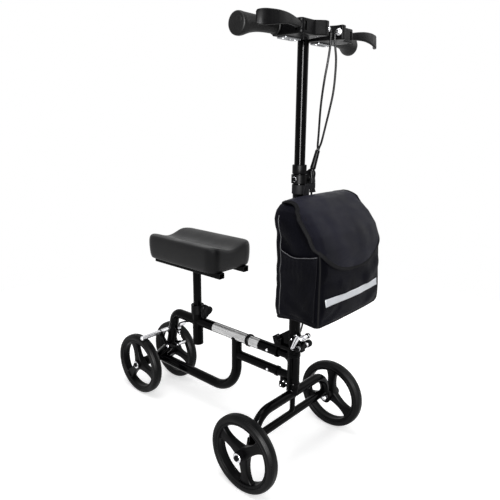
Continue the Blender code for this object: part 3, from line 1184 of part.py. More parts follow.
def seat_pad(seat):
    """Knee pad: long trough between raised sides, sides drawn in at the foot, rounded ends."""
    centre = (PAD_FRONT + PAD_REAR) / 2
    half_length = (PAD_REAR - PAD_FRONT) / 2
    section = [(-0.72, 0.0), (0.72, 0.0), (0.86, 0.06), (0.95, 0.22), (1.0, 0.48), (0.985, 0.72),
               (0.93, 0.88), (0.84, 0.975), (0.72, 1.0), (0.56, 0.955), (0.38, 0.89), (0.19, 0.85),
               (0.0, 0.84)]
    mirrored = [(-across, height) for across, height in reversed(section[2:-1])]
    outline = section + mirrored
    rings = []
    for share in (-1.0, -0.985, -0.95, -0.88, -0.78, -0.6, -0.35, 0.0, 0.35, 0.6, 0.78, 0.88, 0.95, 0.985, 1.0):
        blunt = 5.0 if share < 0 else 7.0
        plan = (1 - (abs(share) * 0.995) ** blunt) ** (1 / blunt)
        crown = (1 - (abs(share) * 0.97) ** 9) ** 0.5
        ring = []
        for across, height in outline:
            trough = PAD_TROUGH / PAD_HEIGHT
            level = 1.0 - (1.0 - height) * (trough / 0.16) if abs(across) < 0.7 and height > 0.5 else height
            foot = 0.0 if height == 0.0 else 1.0
            z = PAD_LOW + PAD_HEIGHT * (level * (0.25 + 0.75 * crown) if foot else 0.0)
            ring.append(Vector((PAD_HALF * plan * across, centre + half_length * share, z)))
        rings.append(ring)
    finish(loft(rings), "seat_pad", "pad_cover", seat, 60)


# Bag

BAG_SECTIONS = ((0.000, 0.133, -0.412, 0.020), (0.006, 0.1365, -0.417, 0.022), (0.030, 0.138, -0.421, 0.024),
                (0.080, 0.137, -0.413, 0.024), (0.150, 0.131, -0.396, 0.020),
                (0.210, 0.126, -0.368, 0.018), (0.262, 0.121, -0.336, 0.014))


def bag_ring(rise, half, front, corner, inset, floor=None):
    """Level section of the bag, drawn in by the inset."""
    back = BAG_BACK - inset
    front = front + inset
    half = half - inset
    size = max(corner - inset, 0.004)
    corners = [(-half, front), (half, front), (half * 0.955, back), (-half * 0.955, back)]
    outline = rounded_outline(corners, size, 2)
    level = BAG_LOW + rise if floor is None else floor
    return [Vector((x, y, level)) for x, y in outline]


def bag(column, flap_carrier):
    """Cloth bag that widens downward, open at the top, its flap and the strap round the column."""
    body = loft([bag_ring(*section, 0) for section in BAG_SECTIONS])
    rise = BAG_SECTIONS[0][0] + BAG_WALL
    hollow = [bag_ring(*BAG_SECTIONS[1], BAG_WALL, BAG_LOW + rise)]
    hollow += [bag_ring(*section, BAG_WALL) for section in BAG_SECTIONS[2:]]
    hollow.append(bag_ring(*BAG_SECTIONS[-1], BAG_WALL, BAG_TOP + 0.02))
    cut(body, loft(hollow))
    finish(body, "bag_body", "bag_cloth", column, 60)
    bag_flap(flap_carrier)
    inner = COLUMN_RADIUS + GAP
    outer = inner + STRAP_THICKNESS
    low = CLAMP_Z - CLAMP_HEIGHT / 2 - STRAP_WIDTH - 0.003
    band = lathe([(inner, low), (outer, low), (outer, low + STRAP_WIDTH), (inner, low + STRAP_WIDTH)],
                 "Z", (0, STEER_Y, 0))
    tail = block((-0.011, BAG_BACK + GAP, BAG_TOP - 0.09), (0.011, BAG_BACK + GAP + 0.0035, low + STRAP_WIDTH))
    bridge = block((-0.0085, BAG_BACK + GAP + 0.001, low), (0.0085, STEER_Y - inner - 0.0008, low + STRAP_WIDTH))
    join(band, tail, bridge)
    finish(band, "bag_strap", "bag_cloth", column)


def flap_line():
    """Middle line of the flap in y and z, from its seam over the top and down the front."""
    rest = FLAP_THICKNESS / 2 + GAP
    top_front = BAG_SECTIONS[-1][2]
    line = [(BAG_BACK - 0.001, BAG_TOP + rest), (BAG_BACK - 0.012, BAG_TOP + rest + 0.003),
            (BAG_BACK - 0.030, BAG_TOP + rest + 0.005), (top_front + 0.010, BAG_TOP + rest + 0.004),
            (top_front - rest * 0.8, BAG_TOP + rest + 0.001),
            (top_front - rest * 2 - 0.0055, BAG_TOP - 0.008)]
    for rise, _, front, _ in reversed(BAG_SECTIONS[3:-1]):
        line.append((front - rest * 2, BAG_LOW + rise))
    return [Vector((0, y, z)) for y, z in line]


def bag_flap(carrier):
    """Flap sheet with a half-round lower edge."""
    path = flap_line()
    lengths = [0.0]
    for back, ahead in zip(path, path[1:]):
        lengths.append(lengths[-1] + (ahead - back).length)
    bend = lengths[5]
    columns = 12
    rows = 4
    grid = []
    for column in range(columns + 1):
        across = -1 + 2 * column / columns
        drop = FLAP_SIDE + (FLAP_LENGTH - FLAP_SIDE) * sqrt(max(0.0, 1 - abs(across) ** 2.4))
        travels = lengths[:5] + [bend + (drop - bend) * row / rows for row in range(rows + 1)]
        for travel in travels:
            spot = point_along(path, lengths, travel)
            width = FLAP_HALF + 0.003 * min(1.0, travel / FLAP_SIDE)
            grid.append((across * width, spot.y, spot.z))
    depth = rows + 6
    faces = []
    for column in range(columns):
        for row in range(depth - 1):
            first = column * depth + row
            faces.append((first, first + 1, first + depth + 1, first + depth))
    shape = bpy.data.meshes.new("flap")
    shape.from_pydata(grid, [], faces)
    piece = bpy.data.objects.new("flap", shape)
    bpy.context.scene.collection.objects.link(piece)
    thicken = piece.modifiers.new("thickness", "SOLIDIFY")
    thicken.thickness = FLAP_THICKNESS
    thicken.offset = 0.0
    view = bpy.context.evaluated_depsgraph_get()
    view.update()
    piece.data = bpy.data.meshes.new_from_object(piece.evaluated_get(view))
    piece.modifiers.clear()
    finish(piece, "bag_flap", "bag_cloth", carrier, 60)


def point_along(path, lengths, travel):
    """Point at a distance along a path."""
    for index in range(1, len(path)):
        if travel <= lengths[index] or index == len(path) - 1:
            span = lengths[index] - lengths[index - 1]
            share = (travel - lengths[index - 1]) / span
            return path[index - 1].lerp(path[index], share)
    return path[-1]


def build():
    """Make every piece on its carrier."""
    clear_scene()
    frame = joint("frame", (0, 0, 0))
    rear = {label: joint("rear_wheel_" + label, (REAR_TRACK * side, REAR_Y, AXLE_Z), frame)
            for label, side in SIDES.items()}
    steerer = joint("steerer", (0, STEER_Y, 0), frame)
    front = {label: joint("front_wheel_" + label, (FRONT_TRACK * side, STEER_Y, AXLE_Z), steerer)
             for label, side in SIDES.items()}
    column = joint("column", (0, PIVOT_Y, PIVOT_Z), steerer)
    cam_x = -(LUG_OUT + GAP + 0.003 + GAP + CAM_RADIUS)
    qr_lever = joint("quick_release_lever", (cam_x, SKEWER_Y, SKEWER_Z), column)
    column_knob = joint("column_knob_turn", (0, STEER_Y, CLAMP_Z), column)
    flap = joint("flap_turn", (0, BAG_BACK - GAP * 2, BAG_TOP + FLAP_THICKNESS + GAP), column)
    bar = joint("handlebar_slide", (0, STEER_Y, BAR_Z), column)
    levers = {label: joint("lever_" + label, (LEVER_PIVOT_X * side, LEVER_PIVOT_Y, BAR_Z - 0.003), bar)
              for label, side in SIDES.items()}
    yoke = joint("brake_yoke_turn", (0, BRAKE_PIVOT_Y, BRAKE_PIVOT_Z), frame)
    seat = joint("seat_slide", (0, SEAT_Y, BRACKET_Z), frame)
    seat_knob = joint("seat_knob_turn", (0, SEAT_Y, KNOB_Z), frame)
    main_frame(frame)
    head_tube(frame)
    head_fittings(frame)
    front_axle_beam(steerer)
    front_wheels(front, steerer)
    rear_wheels(rear, frame)
    hinge_base(steerer)
    outer_column(column)
    quick_release(column, qr_lever)
    column_top(column, column_knob)
    handlebar_group(bar, levers)
    cables(bar, column, frame)
    rear_brake(frame, yoke)
    seat_group(frame, seat, seat_knob)
    bag(column, flap)


if __name__ == "__main__":
    build()
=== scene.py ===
"""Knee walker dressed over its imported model: each piece is made finer than the model and rides on its body.

Metres, +Z up. The floor is z = 0, the front is -Y and the rider's right is -X.
"""

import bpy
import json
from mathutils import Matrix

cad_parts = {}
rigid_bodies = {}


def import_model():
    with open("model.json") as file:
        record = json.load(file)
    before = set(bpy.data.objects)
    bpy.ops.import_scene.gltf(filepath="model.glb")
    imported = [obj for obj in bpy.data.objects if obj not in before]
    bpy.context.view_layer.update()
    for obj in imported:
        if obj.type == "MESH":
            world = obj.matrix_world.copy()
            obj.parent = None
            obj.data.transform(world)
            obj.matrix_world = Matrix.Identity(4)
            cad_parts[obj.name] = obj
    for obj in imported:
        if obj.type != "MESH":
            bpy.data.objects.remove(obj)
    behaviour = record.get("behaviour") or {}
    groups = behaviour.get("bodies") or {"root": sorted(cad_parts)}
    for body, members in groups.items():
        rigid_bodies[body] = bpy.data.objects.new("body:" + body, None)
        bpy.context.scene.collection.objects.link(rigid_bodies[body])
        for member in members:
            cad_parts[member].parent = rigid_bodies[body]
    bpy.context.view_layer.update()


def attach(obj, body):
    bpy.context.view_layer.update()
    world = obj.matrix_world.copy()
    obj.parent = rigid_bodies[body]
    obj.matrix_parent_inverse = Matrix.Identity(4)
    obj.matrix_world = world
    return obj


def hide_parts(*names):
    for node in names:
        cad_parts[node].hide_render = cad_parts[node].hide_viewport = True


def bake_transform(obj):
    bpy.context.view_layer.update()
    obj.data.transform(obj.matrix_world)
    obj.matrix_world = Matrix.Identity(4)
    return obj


bl_info = {
    "name": "Knee Walker",
    "version": (1, 0, 0),
    "blender": (4, 5, 0),
    "location": "View3D > Sidebar > Walker",
    "description": "Builds a steered knee walker with a folding column, rear brake, knee pad and front bag",
    "category": "Add Mesh",
}

import json
from math import cos, pi, radians, sin, sqrt, tan

import bmesh
import bpy
from bpy.props import FloatProperty, FloatVectorProperty, IntProperty, PointerProperty
from mathutils import Matrix, Vector, noise

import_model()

SIDES = {"right": -1, "left": 1}
GAP = 0.0003

# Stations along the walker, across it and above the floor
STEER_Y = -0.257
REAR_Y = 0.321
UPRIGHT_Y = -0.051
SEAT_Y = 0.115
FRONT_TRACK = 0.193
REAR_TRACK = 0.076
AXLE_Z = 0.100
ARCH_Z = 0.182
CROWN_TOP = 0.2005
HEAD_LOW = 0.2058
HEAD_TOP = 0.2998
SOCKET_LOW = 0.3051
HINGE_TOP = 0.3191
TOP_TUBE_Z = 0.2870
MID_TUBE_Z = 0.2290
LOWER_TUBE_Z = 0.1035
TUBE_FRONT_Y = -0.2080
SLEEVE_LOW = 0.2110
SLEEVE_TOP = 0.3395
COLUMN_LOW = 0.3194
COLUMN_TOP = 0.7655
CLAMP_Z = 0.7540
BAR_Z = 1.0800
BRACKET_Z = 0.4785
PAD_LOW = 0.4828
KNOB_Z = 0.3275

# Wheels
WHEEL_RADIUS = 0.100
TYRE_INNER = 0.084
HUB_RADIUS = 0.0135
AXLE_BORE = 0.0043
FRONT_HUB_OUT = 0.0245
REAR_HUB_OUT = 0.0175
REAR_CROSS_HALF = 0.058
REAR_CROSS_RADIUS = 0.0155

# Front axle beam
ARCH_HALF = 0.156
ARCH_BEND = 0.057
ARCH_RADIUS = 0.0125
CROSS_RISE = 0.022
CROSS_RADIUS = 0.0105
STRUT_RADIUS = 0.00725
DROPOUT_FACE = 0.166
DROPOUT_THICKNESS = 0.006
DROPOUT_RADIUS = 0.017

# Tubes
TUBE_RADIUS = 0.0150
MID_TUBE_RADIUS = 0.0127
UPRIGHT_RADIUS = 0.0148
HEAD_RADIUS = 0.0165
HEAD_BORE = 0.0128
BEARING_RADIUS = 0.0176
BEARING_HEIGHT = 0.0047
STUB_RADIUS = 0.0110
POST_RADIUS = 0.0127
SLEEVE_RADIUS = 0.0162
COLUMN_RADIUS = 0.0148
INNER_RADIUS = 0.0130
SOCKET_RADIUS = 0.0185
YOKE_RADIUS = 0.0168
TEE_RADIUS = 0.0145
BAR_RADIUS = 0.0111
BAR_HALF = 0.208
GRIP_START = 0.100
GRIP_LENGTH = 0.1125
CABLE_RADIUS = 0.0025

# Foil on the top tube: stretches along it, and degrees up its right side
FOIL_PATCHES = ((-0.095, 0.037), (-0.142, -0.108))
FOIL_ANGLES = (-36, 84)

# Places of the smaller turning pieces
PIVOT_Y = -0.217
PIVOT_Z = 0.3301
SKEWER_Y = -0.281
SKEWER_Z = 0.3235
BUMPER_Y = -0.224
BUMPER_Z = 0.1978
BUMPER_DISCS = ((-0.2340, 0.2128), (-0.2440, 0.2108))
BRAKE_PIVOT_Y = 0.245
BRAKE_PIVOT_Z = 0.165
BRAKE_ROD_REACH = 0.110
BRAKE_ROD_ANGLE = 109.1
ROCKER_PLATE = 0.003
ANCHOR_Y = 0.195
ANCHOR_Z = 0.187
STOP_Y = 0.206
STOP_Z = 0.231
LEVER_PIVOT_X = 0.092
LEVER_PIVOT_Y = -0.318
CONTROL_Z = BAR_Z - 0.003
RELEASE_LENGTH = 0.042
ADJUSTER_Y = -0.335
ADJUSTER_Z = 1.077

# Bag
BAG_LOW = 0.450
BAG_TOP = 0.712
BAG_BACK = -0.2805

# Camera, measured from the photograph
CAMERA_PLACE = (-0.9879, -0.9843, 0.8880)
CAMERA_AHEAD = (0.72200, 0.64625, -0.24714)
CAMERA_RIGHT = (0.66816, -0.74399, 0.00650)
CAMERA_UP = (0.17967, 0.16982, 0.96896)
CAMERA_LENS = 36.47
CAMERA_SENSOR = 36.0

# Stage
FLOOR_RADIUS = 1.7
FLOOR_SHADE = (0.86, 0.86, 0.86, 1.0)
WHITE = (1.0, 1.0, 1.0, 1.0)
MATT_PIECES = ("knee_pad", "cloth_bag", "bag_lid")


# Sizes and colours that a user would change

def colour(name, description, default):
    """Colour property of one finish."""
    return FloatVectorProperty(name=name, description=description, default=default, subtype="COLOR",
                               size=3, min=0.0, max=1.0)


def share(name, description, default, high=1.0):
    """Property between nothing and a highest value, without a unit."""
    return FloatProperty(name=name, description=description, default=default, min=0.0, max=high)


def length(name, description, default):
    """Length property in metres."""
    return FloatProperty(name=name, description=description, default=default, min=0.0, max=0.1,
                         subtype="DISTANCE", unit="LENGTH", precision=4)


class WalkerFinishes(bpy.types.PropertyGroup):
    """Colours and gloss of the walker's finishes."""

    paint: colour("Frame paint", "Gloss black of the tubes", (0.0013, 0.0013, 0.0016))
    paint_roughness: share("Paint roughness", "0 is a mirror, 1 is chalk", 0.10)
    plastic: colour("Moulded plastic", "Housings, levers, knobs and rims", (0.003, 0.003, 0.0035))
    tyre: colour("Tyre", "Solid tyre", (0.0016, 0.0016, 0.0019))
    rubber: colour("Grip rubber", "Grips and stop bumper", (0.006, 0.006, 0.006))
    pad: colour("Pad cover", "Moulded skin of the knee pad", (0.003, 0.003, 0.0035))
    cloth: colour("Bag cloth", "Woven cloth of the bag and its straps", (0.0028, 0.0028, 0.0046))
    binding: colour("Bag binding", "Tape round the flap and along the seams", (0.003, 0.003, 0.004))
    seam: colour("Seams", "Grey elastic and thread of the bag", (0.12, 0.12, 0.13))
    stripe: colour("Reflective stripe", "Band across the bag's front", (0.72, 0.74, 0.78))
    foil: colour("Foil", "Bare foil patches on the top tube", (0.74, 0.74, 0.75))
    zinc: colour("Zinc plate", "Bolts, washers, adjusters and the quick-release lever", (0.66, 0.66, 0.68))
    clamp: colour("Clamp plates", "Cast plates under the brake housings", (0.26, 0.265, 0.275))
    cable: colour("Cable sleeve", "Sleeves of the brake cables", (0.006, 0.006, 0.007))


class WalkerWheels(bpy.types.PropertyGroup):
    """Shape of the tyres and rims."""

    ridge: length("Ridge depth", "Depth of the fine lines on the tyre's shoulders", 0.0006)
    ridges: IntProperty(name="Ridges", description="Fine lines on each shoulder", default=4, min=0, max=8)
    crown: length("Crown", "Fall of the tread from its middle to its shoulder", 0.0042)


class WalkerPad(bpy.types.PropertyGroup):
    """Shape of the knee pad."""

    trough: length("Trough", "Depth of the trough between the raised sides", 0.015)
    rounding: length("Corner rounding", "Radius of the four corners, seen from above", 0.033)


class WalkerBag(bpy.types.PropertyGroup):
    """Shape of the bag."""

    bulge: length("Bulge", "How far the middle of the front stands out", 0.009)
    folds: length("Folds", "Depth of the folds in the cloth", 0.0045)
    stripe_height: length("Stripe", "Height of the reflective stripe", 0.017)
    binding: length("Binding", "Width of the tape round the flap", 0.009)


class WalkerStage(bpy.types.PropertyGroup):
    """Light on the walker."""

    gleam: FloatProperty(name="Gleam", description="Power of the panel beside the camera, for the light streaks",
                         default=300.0, min=0.0, unit="POWER")
    key: FloatProperty(name="Key light", description="Power of the soft lamp in front", default=12.0, min=0.0,
                       unit="POWER")
    top: FloatProperty(name="Top light", description="Power of the large lamp overhead", default=34.0, min=0.0,
                       unit="POWER")
    fill: FloatProperty(name="Fill light", description="Power of the lamp on the walker's left",
                        default=10.0, min=0.0, unit="POWER")
    surroundings: share("Surroundings", "Strength of the light from all round", 0.35, 4.0)
    floor_glow: share("Floor glow", "What the floor adds to its own light for the eye", 0.56, 2.0)


# Outlines and paths

def refine(rows, pieces):
    """Rows of numbers with smooth steps put between them."""
    rows = [tuple(row) for row in rows]
    before = tuple(2 * a - b for a, b in zip(rows[0], rows[1]))
    beyond = tuple(2 * a - b for a, b in zip(rows[-1], rows[-2]))
    padded = [before] + rows + [beyond]
    finer = []
    for quad in zip(padded, padded[1:], padded[2:], padded[3:]):
        for step in range(pieces):
            t = step / pieces
            finer.append(tuple(0.5 * (2 * q + (r - p) * t + (2 * p - 5 * q + 4 * r - s) * t ** 2
                                      + (3 * q - p - 3 * r + s) * t ** 3) for p, q, r, s in zip(*quad)))
    finer.append(rows[-1])
    return finer


def arc(centre, radius, start, stop, steps=12):
    """Points of an arc, with its angles in degrees."""
    turns = [radians(start + (stop - start) * step / steps) for step in range(steps + 1)]
    return [(centre[0] + radius * cos(turn), centre[1] + radius * sin(turn)) for turn in turns]


def full_turn(count):
    """Angles of even steps once round."""
    return [2 * pi * index / count for index in range(count)]


def rounded_path(corners, radii, steps=14):
    """Path through the corners, each inner one rounded by an arc of its own radius."""
    corners = [Vector(corner) for corner in corners]
    path = [corners[0]]
    for before, corner, after, radius in zip(corners, corners[1:], corners[2:], radii):
        inward = (before - corner).normalized()
        onward = (after - corner).normalized()
        half = inward.angle(onward) / 2
        centre = corner + (inward + onward).normalized() * (radius / sin(half))
        start = corner + inward * (radius / tan(half)) - centre
        stop = corner + onward * (radius / tan(half)) - centre
        axis = start.cross(stop).normalized()
        for step in range(steps + 1):
            path.append(centre + Matrix.Rotation(start.angle(stop) * step / steps, 3, axis) @ start)
    path.append(corners[-1])
    return path


def rounded_outline(corners, radius, steps=5):
    """Closed outline whose corners are rounded. The radius is one value, or one for each corner."""
    radii = radius if isinstance(radius, list) else [radius] * len(corners)
    outline = []
    for index, size in enumerate(radii):
        spots = [Vector((*corners[(index + shift) % len(corners)], 0)) for shift in (-1, 0, 1)]
        if size == 0:
            outline.append(spots[1].xy[:])
        else:
            outline += [point.xy[:] for point in rounded_path(spots, [size], steps)[1:-1]]
    return outline


def rounded_box(low, high, corner):
    """Outline of a box from its low corner to its high one, with rounded corners."""
    return rounded_outline([low, (high[0], low[1]), high, (low[0], high[1])], corner)


def box_outline(half_width, half_height, corner, steps=5):
    """Outline of a box section with rounded corners, centred on zero."""
    corners = [(half_width, -half_height), (half_width, half_height),
               (-half_width, half_height), (-half_width, -half_height)]
    return rounded_outline(corners, corner, steps)


def mirrored(outline, side):
    """Outline carried to one side of the walker."""
    return [(x * side, y) for x, y in outline]


def inset(outline, amount):
    """Outline with each point moved inward by the amount."""
    count = len(outline)
    area = sum(outline[i - 1][0] * outline[i][1] - outline[i][0] * outline[i - 1][1] for i in range(count))
    way = 1 if area > 0 else -1
    moved = []
    for index in range(count):
        before = Vector(outline[index - 1])
        here = Vector(outline[index])
        after = Vector(outline[(index + 1) % count])
        run = ((here - before).normalized() + (after - here).normalized()).normalized()
        moved.append((here.x - run.y * amount * way, here.y + run.x * amount * way))
    return moved


def carried(profile, side):
    """Turned profile carried to one side of the walker."""
    return [(radius, along * side) for radius, along in profile]


def there_and_back(profile):
    """Turned profile followed by its mirror image."""
    return profile + [(radius, -along) for radius, along in reversed(profile)]


def collar(inner, outer, low, high, bevel, rise):
    """Section of a ring whose two outer rims are bevelled."""
    return [(inner, low), (outer - bevel, low), (outer, low + rise), (outer, high - rise), (outer - bevel, high),
            (inner, high)]


def seam_line(centre, along, across, inner, outer, count=72):
    """Closed line where a tube that runs along one way meets a rounder tube that runs across it."""
    along = Vector(along).normalized()
    across = Vector(across).normalized()
    side = along.cross(across)
    line = []
    for turn in full_turn(count):
        depth = sqrt(max(outer ** 2 - (inner * sin(turn)) ** 2, 0.0))
        line.append(Vector(centre) + (across * cos(turn) + side * sin(turn)) * inner + along * depth)
    return line


TURNED = {
    "X": Matrix(((0, 0, 1), (1, 0, 0), (0, 1, 0))),
    "Y": Matrix(((0, 1, 0), (0, 0, 1), (1, 0, 0))),
    "Z": Matrix.Identity(3),
}


class Shell:
    """Points and faces of one piece, gathered shape by shape. A shape's look is its material's number."""

    def __init__(self):
        self.points = []
        self.faces = []
        self.looks = []

    def add(self, points, faces, look=0):
        """Any shape."""
        start = len(self.points)
        self.points += [tuple(point) for point in points]
        self.faces += [tuple(start + index for index in face) for face in faces]
        self.looks += [look] * len(faces)

    def loft(self, rings, look=0, around=False, caps=True):
        """Skin over rings of as many points. Around joins the last ring to the first."""
        count = len(rings[0])
        rows = len(rings)
        faces = []
        for row in range(rows if around else rows - 1):
            low = row * count
            high = (row + 1) % rows * count
            for index in range(count):
                after = (index + 1) % count
                faces.append((low + index, low + after, high + after, high + index))
        if caps and not around:
            faces.append(tuple(reversed(range(count))))
            faces.append(tuple(range((rows - 1) * count, rows * count)))
        self.add([point for ring in rings for point in ring], faces, look)

    def sweep(self, path, radius, sides=40, look=0, around=False):
        """Round bar along a path. The radius is one value, or one for each point."""
        points = [Vector(point) for point in path]
        radii = radius if isinstance(radius, list) else [radius] * len(points)
        if around:
            pairs = zip(points, points[1:] + points[:1])
            runs = [(ahead - back).normalized() for back, ahead in pairs]
            headings = [(a + b).normalized() for a, b in zip(runs[-1:] + runs[:-1], runs)]
        else:
            runs = [(ahead - back).normalized() for back, ahead in zip(points, points[1:])]
            headings = [runs[0]] + [(a + b).normalized() for a, b in zip(runs, runs[1:])] + [runs[-1]]
        upright = abs(headings[0].z) > 0.9
        across = Vector((1, 0, 0)) if upright else headings[0].cross(Vector((0, 0, 1)))
        turns = full_turn(sides)
        rings = []
        for point, heading, size in zip(points, headings, radii):
            across = (across - heading * across.dot(heading)).normalized()
            other = heading.cross(across)
            rings.append([point + (across * cos(turn) + other * sin(turn)) * size for turn in turns])
        self.loft(rings, look, around)

    def rod(self, start, stop, radius, sides=40, look=0, edge=0.0006):
        """Straight round bar with its two rims broken."""
        start = Vector(start)
        stop = Vector(stop)
        run = (stop - start).normalized()
        path = [start, start + run * edge, stop - run * edge, stop]
        self.sweep(path, [radius - edge, radius, radius, radius - edge], sides, look)

    def lathe(self, profile, axis="Z", place=(0, 0, 0), sides=56, look=0, around=False):
        """Solid of revolution over (radius, distance along the axis)."""
        turned = TURNED[axis]
        turns = full_turn(sides)
        rings = []
        for radius, along in profile:
            rings.append([turned @ Vector((radius * cos(turn), radius * sin(turn), along)) + Vector(place)
                          for turn in turns])
        self.loft(rings, look, around)

    def prism(self, outline, low, high, axis="Z", edge=0.0, look=0, steps=4):
        """Slab over an outline in (y, z), (x, z) or (x, y). The edge rounds its two rims."""
        def lift(point, level):
            first, second = point
            return Vector({"X": (level, first, second), "Y": (first, level, second),
                           "Z": (first, second, level)}[axis])
        levels = [(low, outline), (high, outline)]
        if edge:
            way = edge if high > low else -edge
            turns = [pi / 2 * step / steps for step in range(steps + 1)]
            rims = [(way * (1 - cos(turn)), inset(outline, edge * (1 - sin(turn)))) for turn in turns]
            levels = [(low + rise, shape) for rise, shape in rims]
            levels += [(high - rise, shape) for rise, shape in reversed(rims)]
        self.loft([[lift(point, level) for point in shape] for level, shape in levels], look)

    def bead(self, line, radius=0.0017, look=0):
        """Weld bead with its ripples along a closed line."""
        sizes = [radius * (1 + 0.16 * sin(index * 2.6)) for index in range(len(line))]
        self.sweep(line, sizes, 10, look, True)

    def absorb(self, piece, look=0):
        """Take over a loose object's mesh and remove the object."""
        self.add([vertex.co[:] for vertex in piece.data.vertices],
                 [tuple(face.vertices) for face in piece.data.polygons], look)
        bpy.data.objects.remove(piece, do_unlink=True)

    def build(self, name, *looks, sharp=32):
        """Object from what was gathered, with its faces pointing out and its curved faces smooth."""
        shape = bpy.data.meshes.new(name)
        shape.from_pydata(self.points, [], self.faces)
        for face, look in zip(shape.polygons, self.looks):
            face.material_index = look
        clean = bmesh.new()
        clean.from_mesh(shape)
        bmesh.ops.remove_doubles(clean, verts=clean.verts, dist=0.000002)
        bmesh.ops.recalc_face_normals(clean, faces=clean.faces)
        clean.to_mesh(shape)
        clean.free()
        shape.shade_smooth()
        shape.set_sharp_from_angle(angle=radians(sharp))
        piece = bpy.data.objects.new(name, shape)
        bpy.context.scene.collection.objects.link(piece)
        for look in looks:
            shape.materials.append(FINISHES[look]())
        return piece


def bake(piece):
    """Put a piece's modifiers into its mesh."""
    view = bpy.context.evaluated_depsgraph_get()
    view.update()
    piece.data = bpy.data.meshes.new_from_object(piece.evaluated_get(view))
    piece.modifiers.clear()
    return piece


def carve(piece, *tools):
    """Cut closed shapes out of a piece and remove them."""
    for tool in tools:
        step = piece.modifiers.new("cut", "BOOLEAN")
        step.operation = "DIFFERENCE"
        step.solver = "EXACT"
        step.object = tool
    bake(piece)
    for tool in tools:
        bpy.data.objects.remove(tool, do_unlink=True)
    return piece


def mount(piece, body, slot, *nodes):
    """Hang a piece on its body, in place of the model's nodes that it stands for."""
    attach(piece, body)
    if nodes:
        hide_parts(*nodes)
    return piece


# Finishes

class Finish:
    """Shader of one finish with the nodes that give it grain, change of colour and relief."""

    def __init__(self, name, base, roughness, metallic=0.0, specular=0.5):
        self.material = bpy.data.materials.new(name)
        self.material.use_nodes = True
        self.material.diffuse_color = (*base, 1.0)
        self.tree = self.material.node_tree
        self.shader = self.tree.nodes["Principled BSDF"]
        self.base = base
        self.set("Base Color", (*base, 1.0))
        self.set("Roughness", roughness)
        self.set("Metallic", metallic)
        self.set("Specular IOR Level", specular)
        self.height = None
        self.place = self.node("ShaderNodeTexCoord").outputs["Object"]

    def set(self, socket, value):
        """Value that is the same all over."""
        self.shader.inputs[socket].default_value = value

    def node(self, kind, **values):
        """New node, with values for its sockets or settings, or links where the value is a socket."""
        made = self.tree.nodes.new(kind)
        for name, value in values.items():
            title = name.replace("_", " ").title()
            if title in made.inputs:
                if isinstance(value, bpy.types.NodeSocket):
                    self.tree.links.new(value, made.inputs[title])
                else:
                    made.inputs[title].default_value = value
            else:
                setattr(made, name, value)
        return made

    def math(self, operation, first, second):
        """One sum of two values."""
        made = self.tree.nodes.new("ShaderNodeMath")
        made.operation = operation
        for socket, value in zip(made.inputs, (first, second)):
            if isinstance(value, bpy.types.NodeSocket):
                self.tree.links.new(value, socket)
            else:
                socket.default_value = value
        return made.outputs[0]

    def noise(self, scale, detail=3.0, stretch=None):
        """Cloudy value over the surface, finer with a larger scale."""
        place = self.place
        if stretch:
            mapping = self.node("ShaderNodeMapping", vector=self.place)
            mapping.inputs["Scale"].default_value = stretch
            place = mapping.outputs[0]
        return self.node("ShaderNodeTexNoise", vector=place, scale=scale, detail=detail).outputs[0]

    def vary(self, socket, value, low, high):
        """Let a socket run between two values with a cloudy value."""
        spread = self.node("ShaderNodeMapRange", value=value)
        spread.inputs["From Min"].default_value = 0.3
        spread.inputs["From Max"].default_value = 0.7
        spread.inputs["To Min"].default_value = low
        spread.inputs["To Max"].default_value = high
        self.tree.links.new(spread.outputs[0], self.shader.inputs[socket])

    def tint(self, value, low=0.8, high=1.25):
        """Let the base colour run a little darker and lighter with a cloudy value."""
        blend = self.tree.nodes.new("ShaderNodeMix")
        blend.data_type = "RGBA"
        self.tree.links.new(value, blend.inputs["Factor"])
        for socket, part in ((blend.inputs[6], low), (blend.inputs[7], high)):
            socket.default_value = (*[min(channel * part, 1.0) for channel in self.base], 1.0)
        self.tree.links.new(blend.outputs[2], self.shader.inputs["Base Color"])

    def relief(self, value, depth, strength=1.0):
        """Relief of a depth in metres, laid over what is there."""
        bump = self.tree.nodes.new("ShaderNodeBump")
        bump.inputs["Strength"].default_value = strength
        bump.inputs["Distance"].default_value = depth
        self.tree.links.new(value, bump.inputs["Height"])
        if self.height:
            self.tree.links.new(self.height, bump.inputs["Normal"])
        self.height = bump.outputs[0]
        self.tree.links.new(self.height, self.shader.inputs["Normal"])

    def threads(self, pitch):
        """Value of a plain weave whose threads lie a pitch apart."""
        bands = []
        for way in ("X", "Y", "Z"):
            wave = self.node("ShaderNodeTexWave", vector=self.place, scale=2 * pi / (20 * pitch),
                             bands_direction=way)
            bands.append(wave.outputs[1])
        return self.math("MULTIPLY", self.math("ADD", bands[0], bands[1]), bands[2])


def once(name):
    """Make a finish's material on its first use and hand it out again after that."""
    def wrap(make):
        def get():
            found = bpy.data.materials.get(name)
            if found:
                return found
            return make(name, bpy.context.scene.walker_finishes).material
        return get
    return wrap


@once("walker_paint")
def paint(name, wish):
    """Gloss stove enamel with a clear top and slight orange peel."""
    look = Finish(name, wish.paint, wish.paint_roughness, specular=0.035)
    look.set("Coat Weight", 0.02)
    look.set("Coat Roughness", 0.06)
    look.tint(look.noise(9.0), 0.7, 1.5)
    look.vary("Roughness", look.noise(35.0, 4.0), wish.paint_roughness * 0.8, wish.paint_roughness * 1.3)
    look.relief(look.noise(420.0, 2.0), 0.00004, 0.6)
    return look


@once("walker_plastic")
def plastic(name, wish):
    """Moulded plastic with a fine spark-eroded grain."""
    look = Finish(name, wish.plastic, 0.28, specular=0.05)
    look.tint(look.noise(14.0), 0.7, 1.5)
    look.vary("Roughness", look.noise(60.0, 4.0), 0.30, 0.46)
    look.relief(look.noise(1500.0, 2.0), 0.00005, 0.7)
    return look


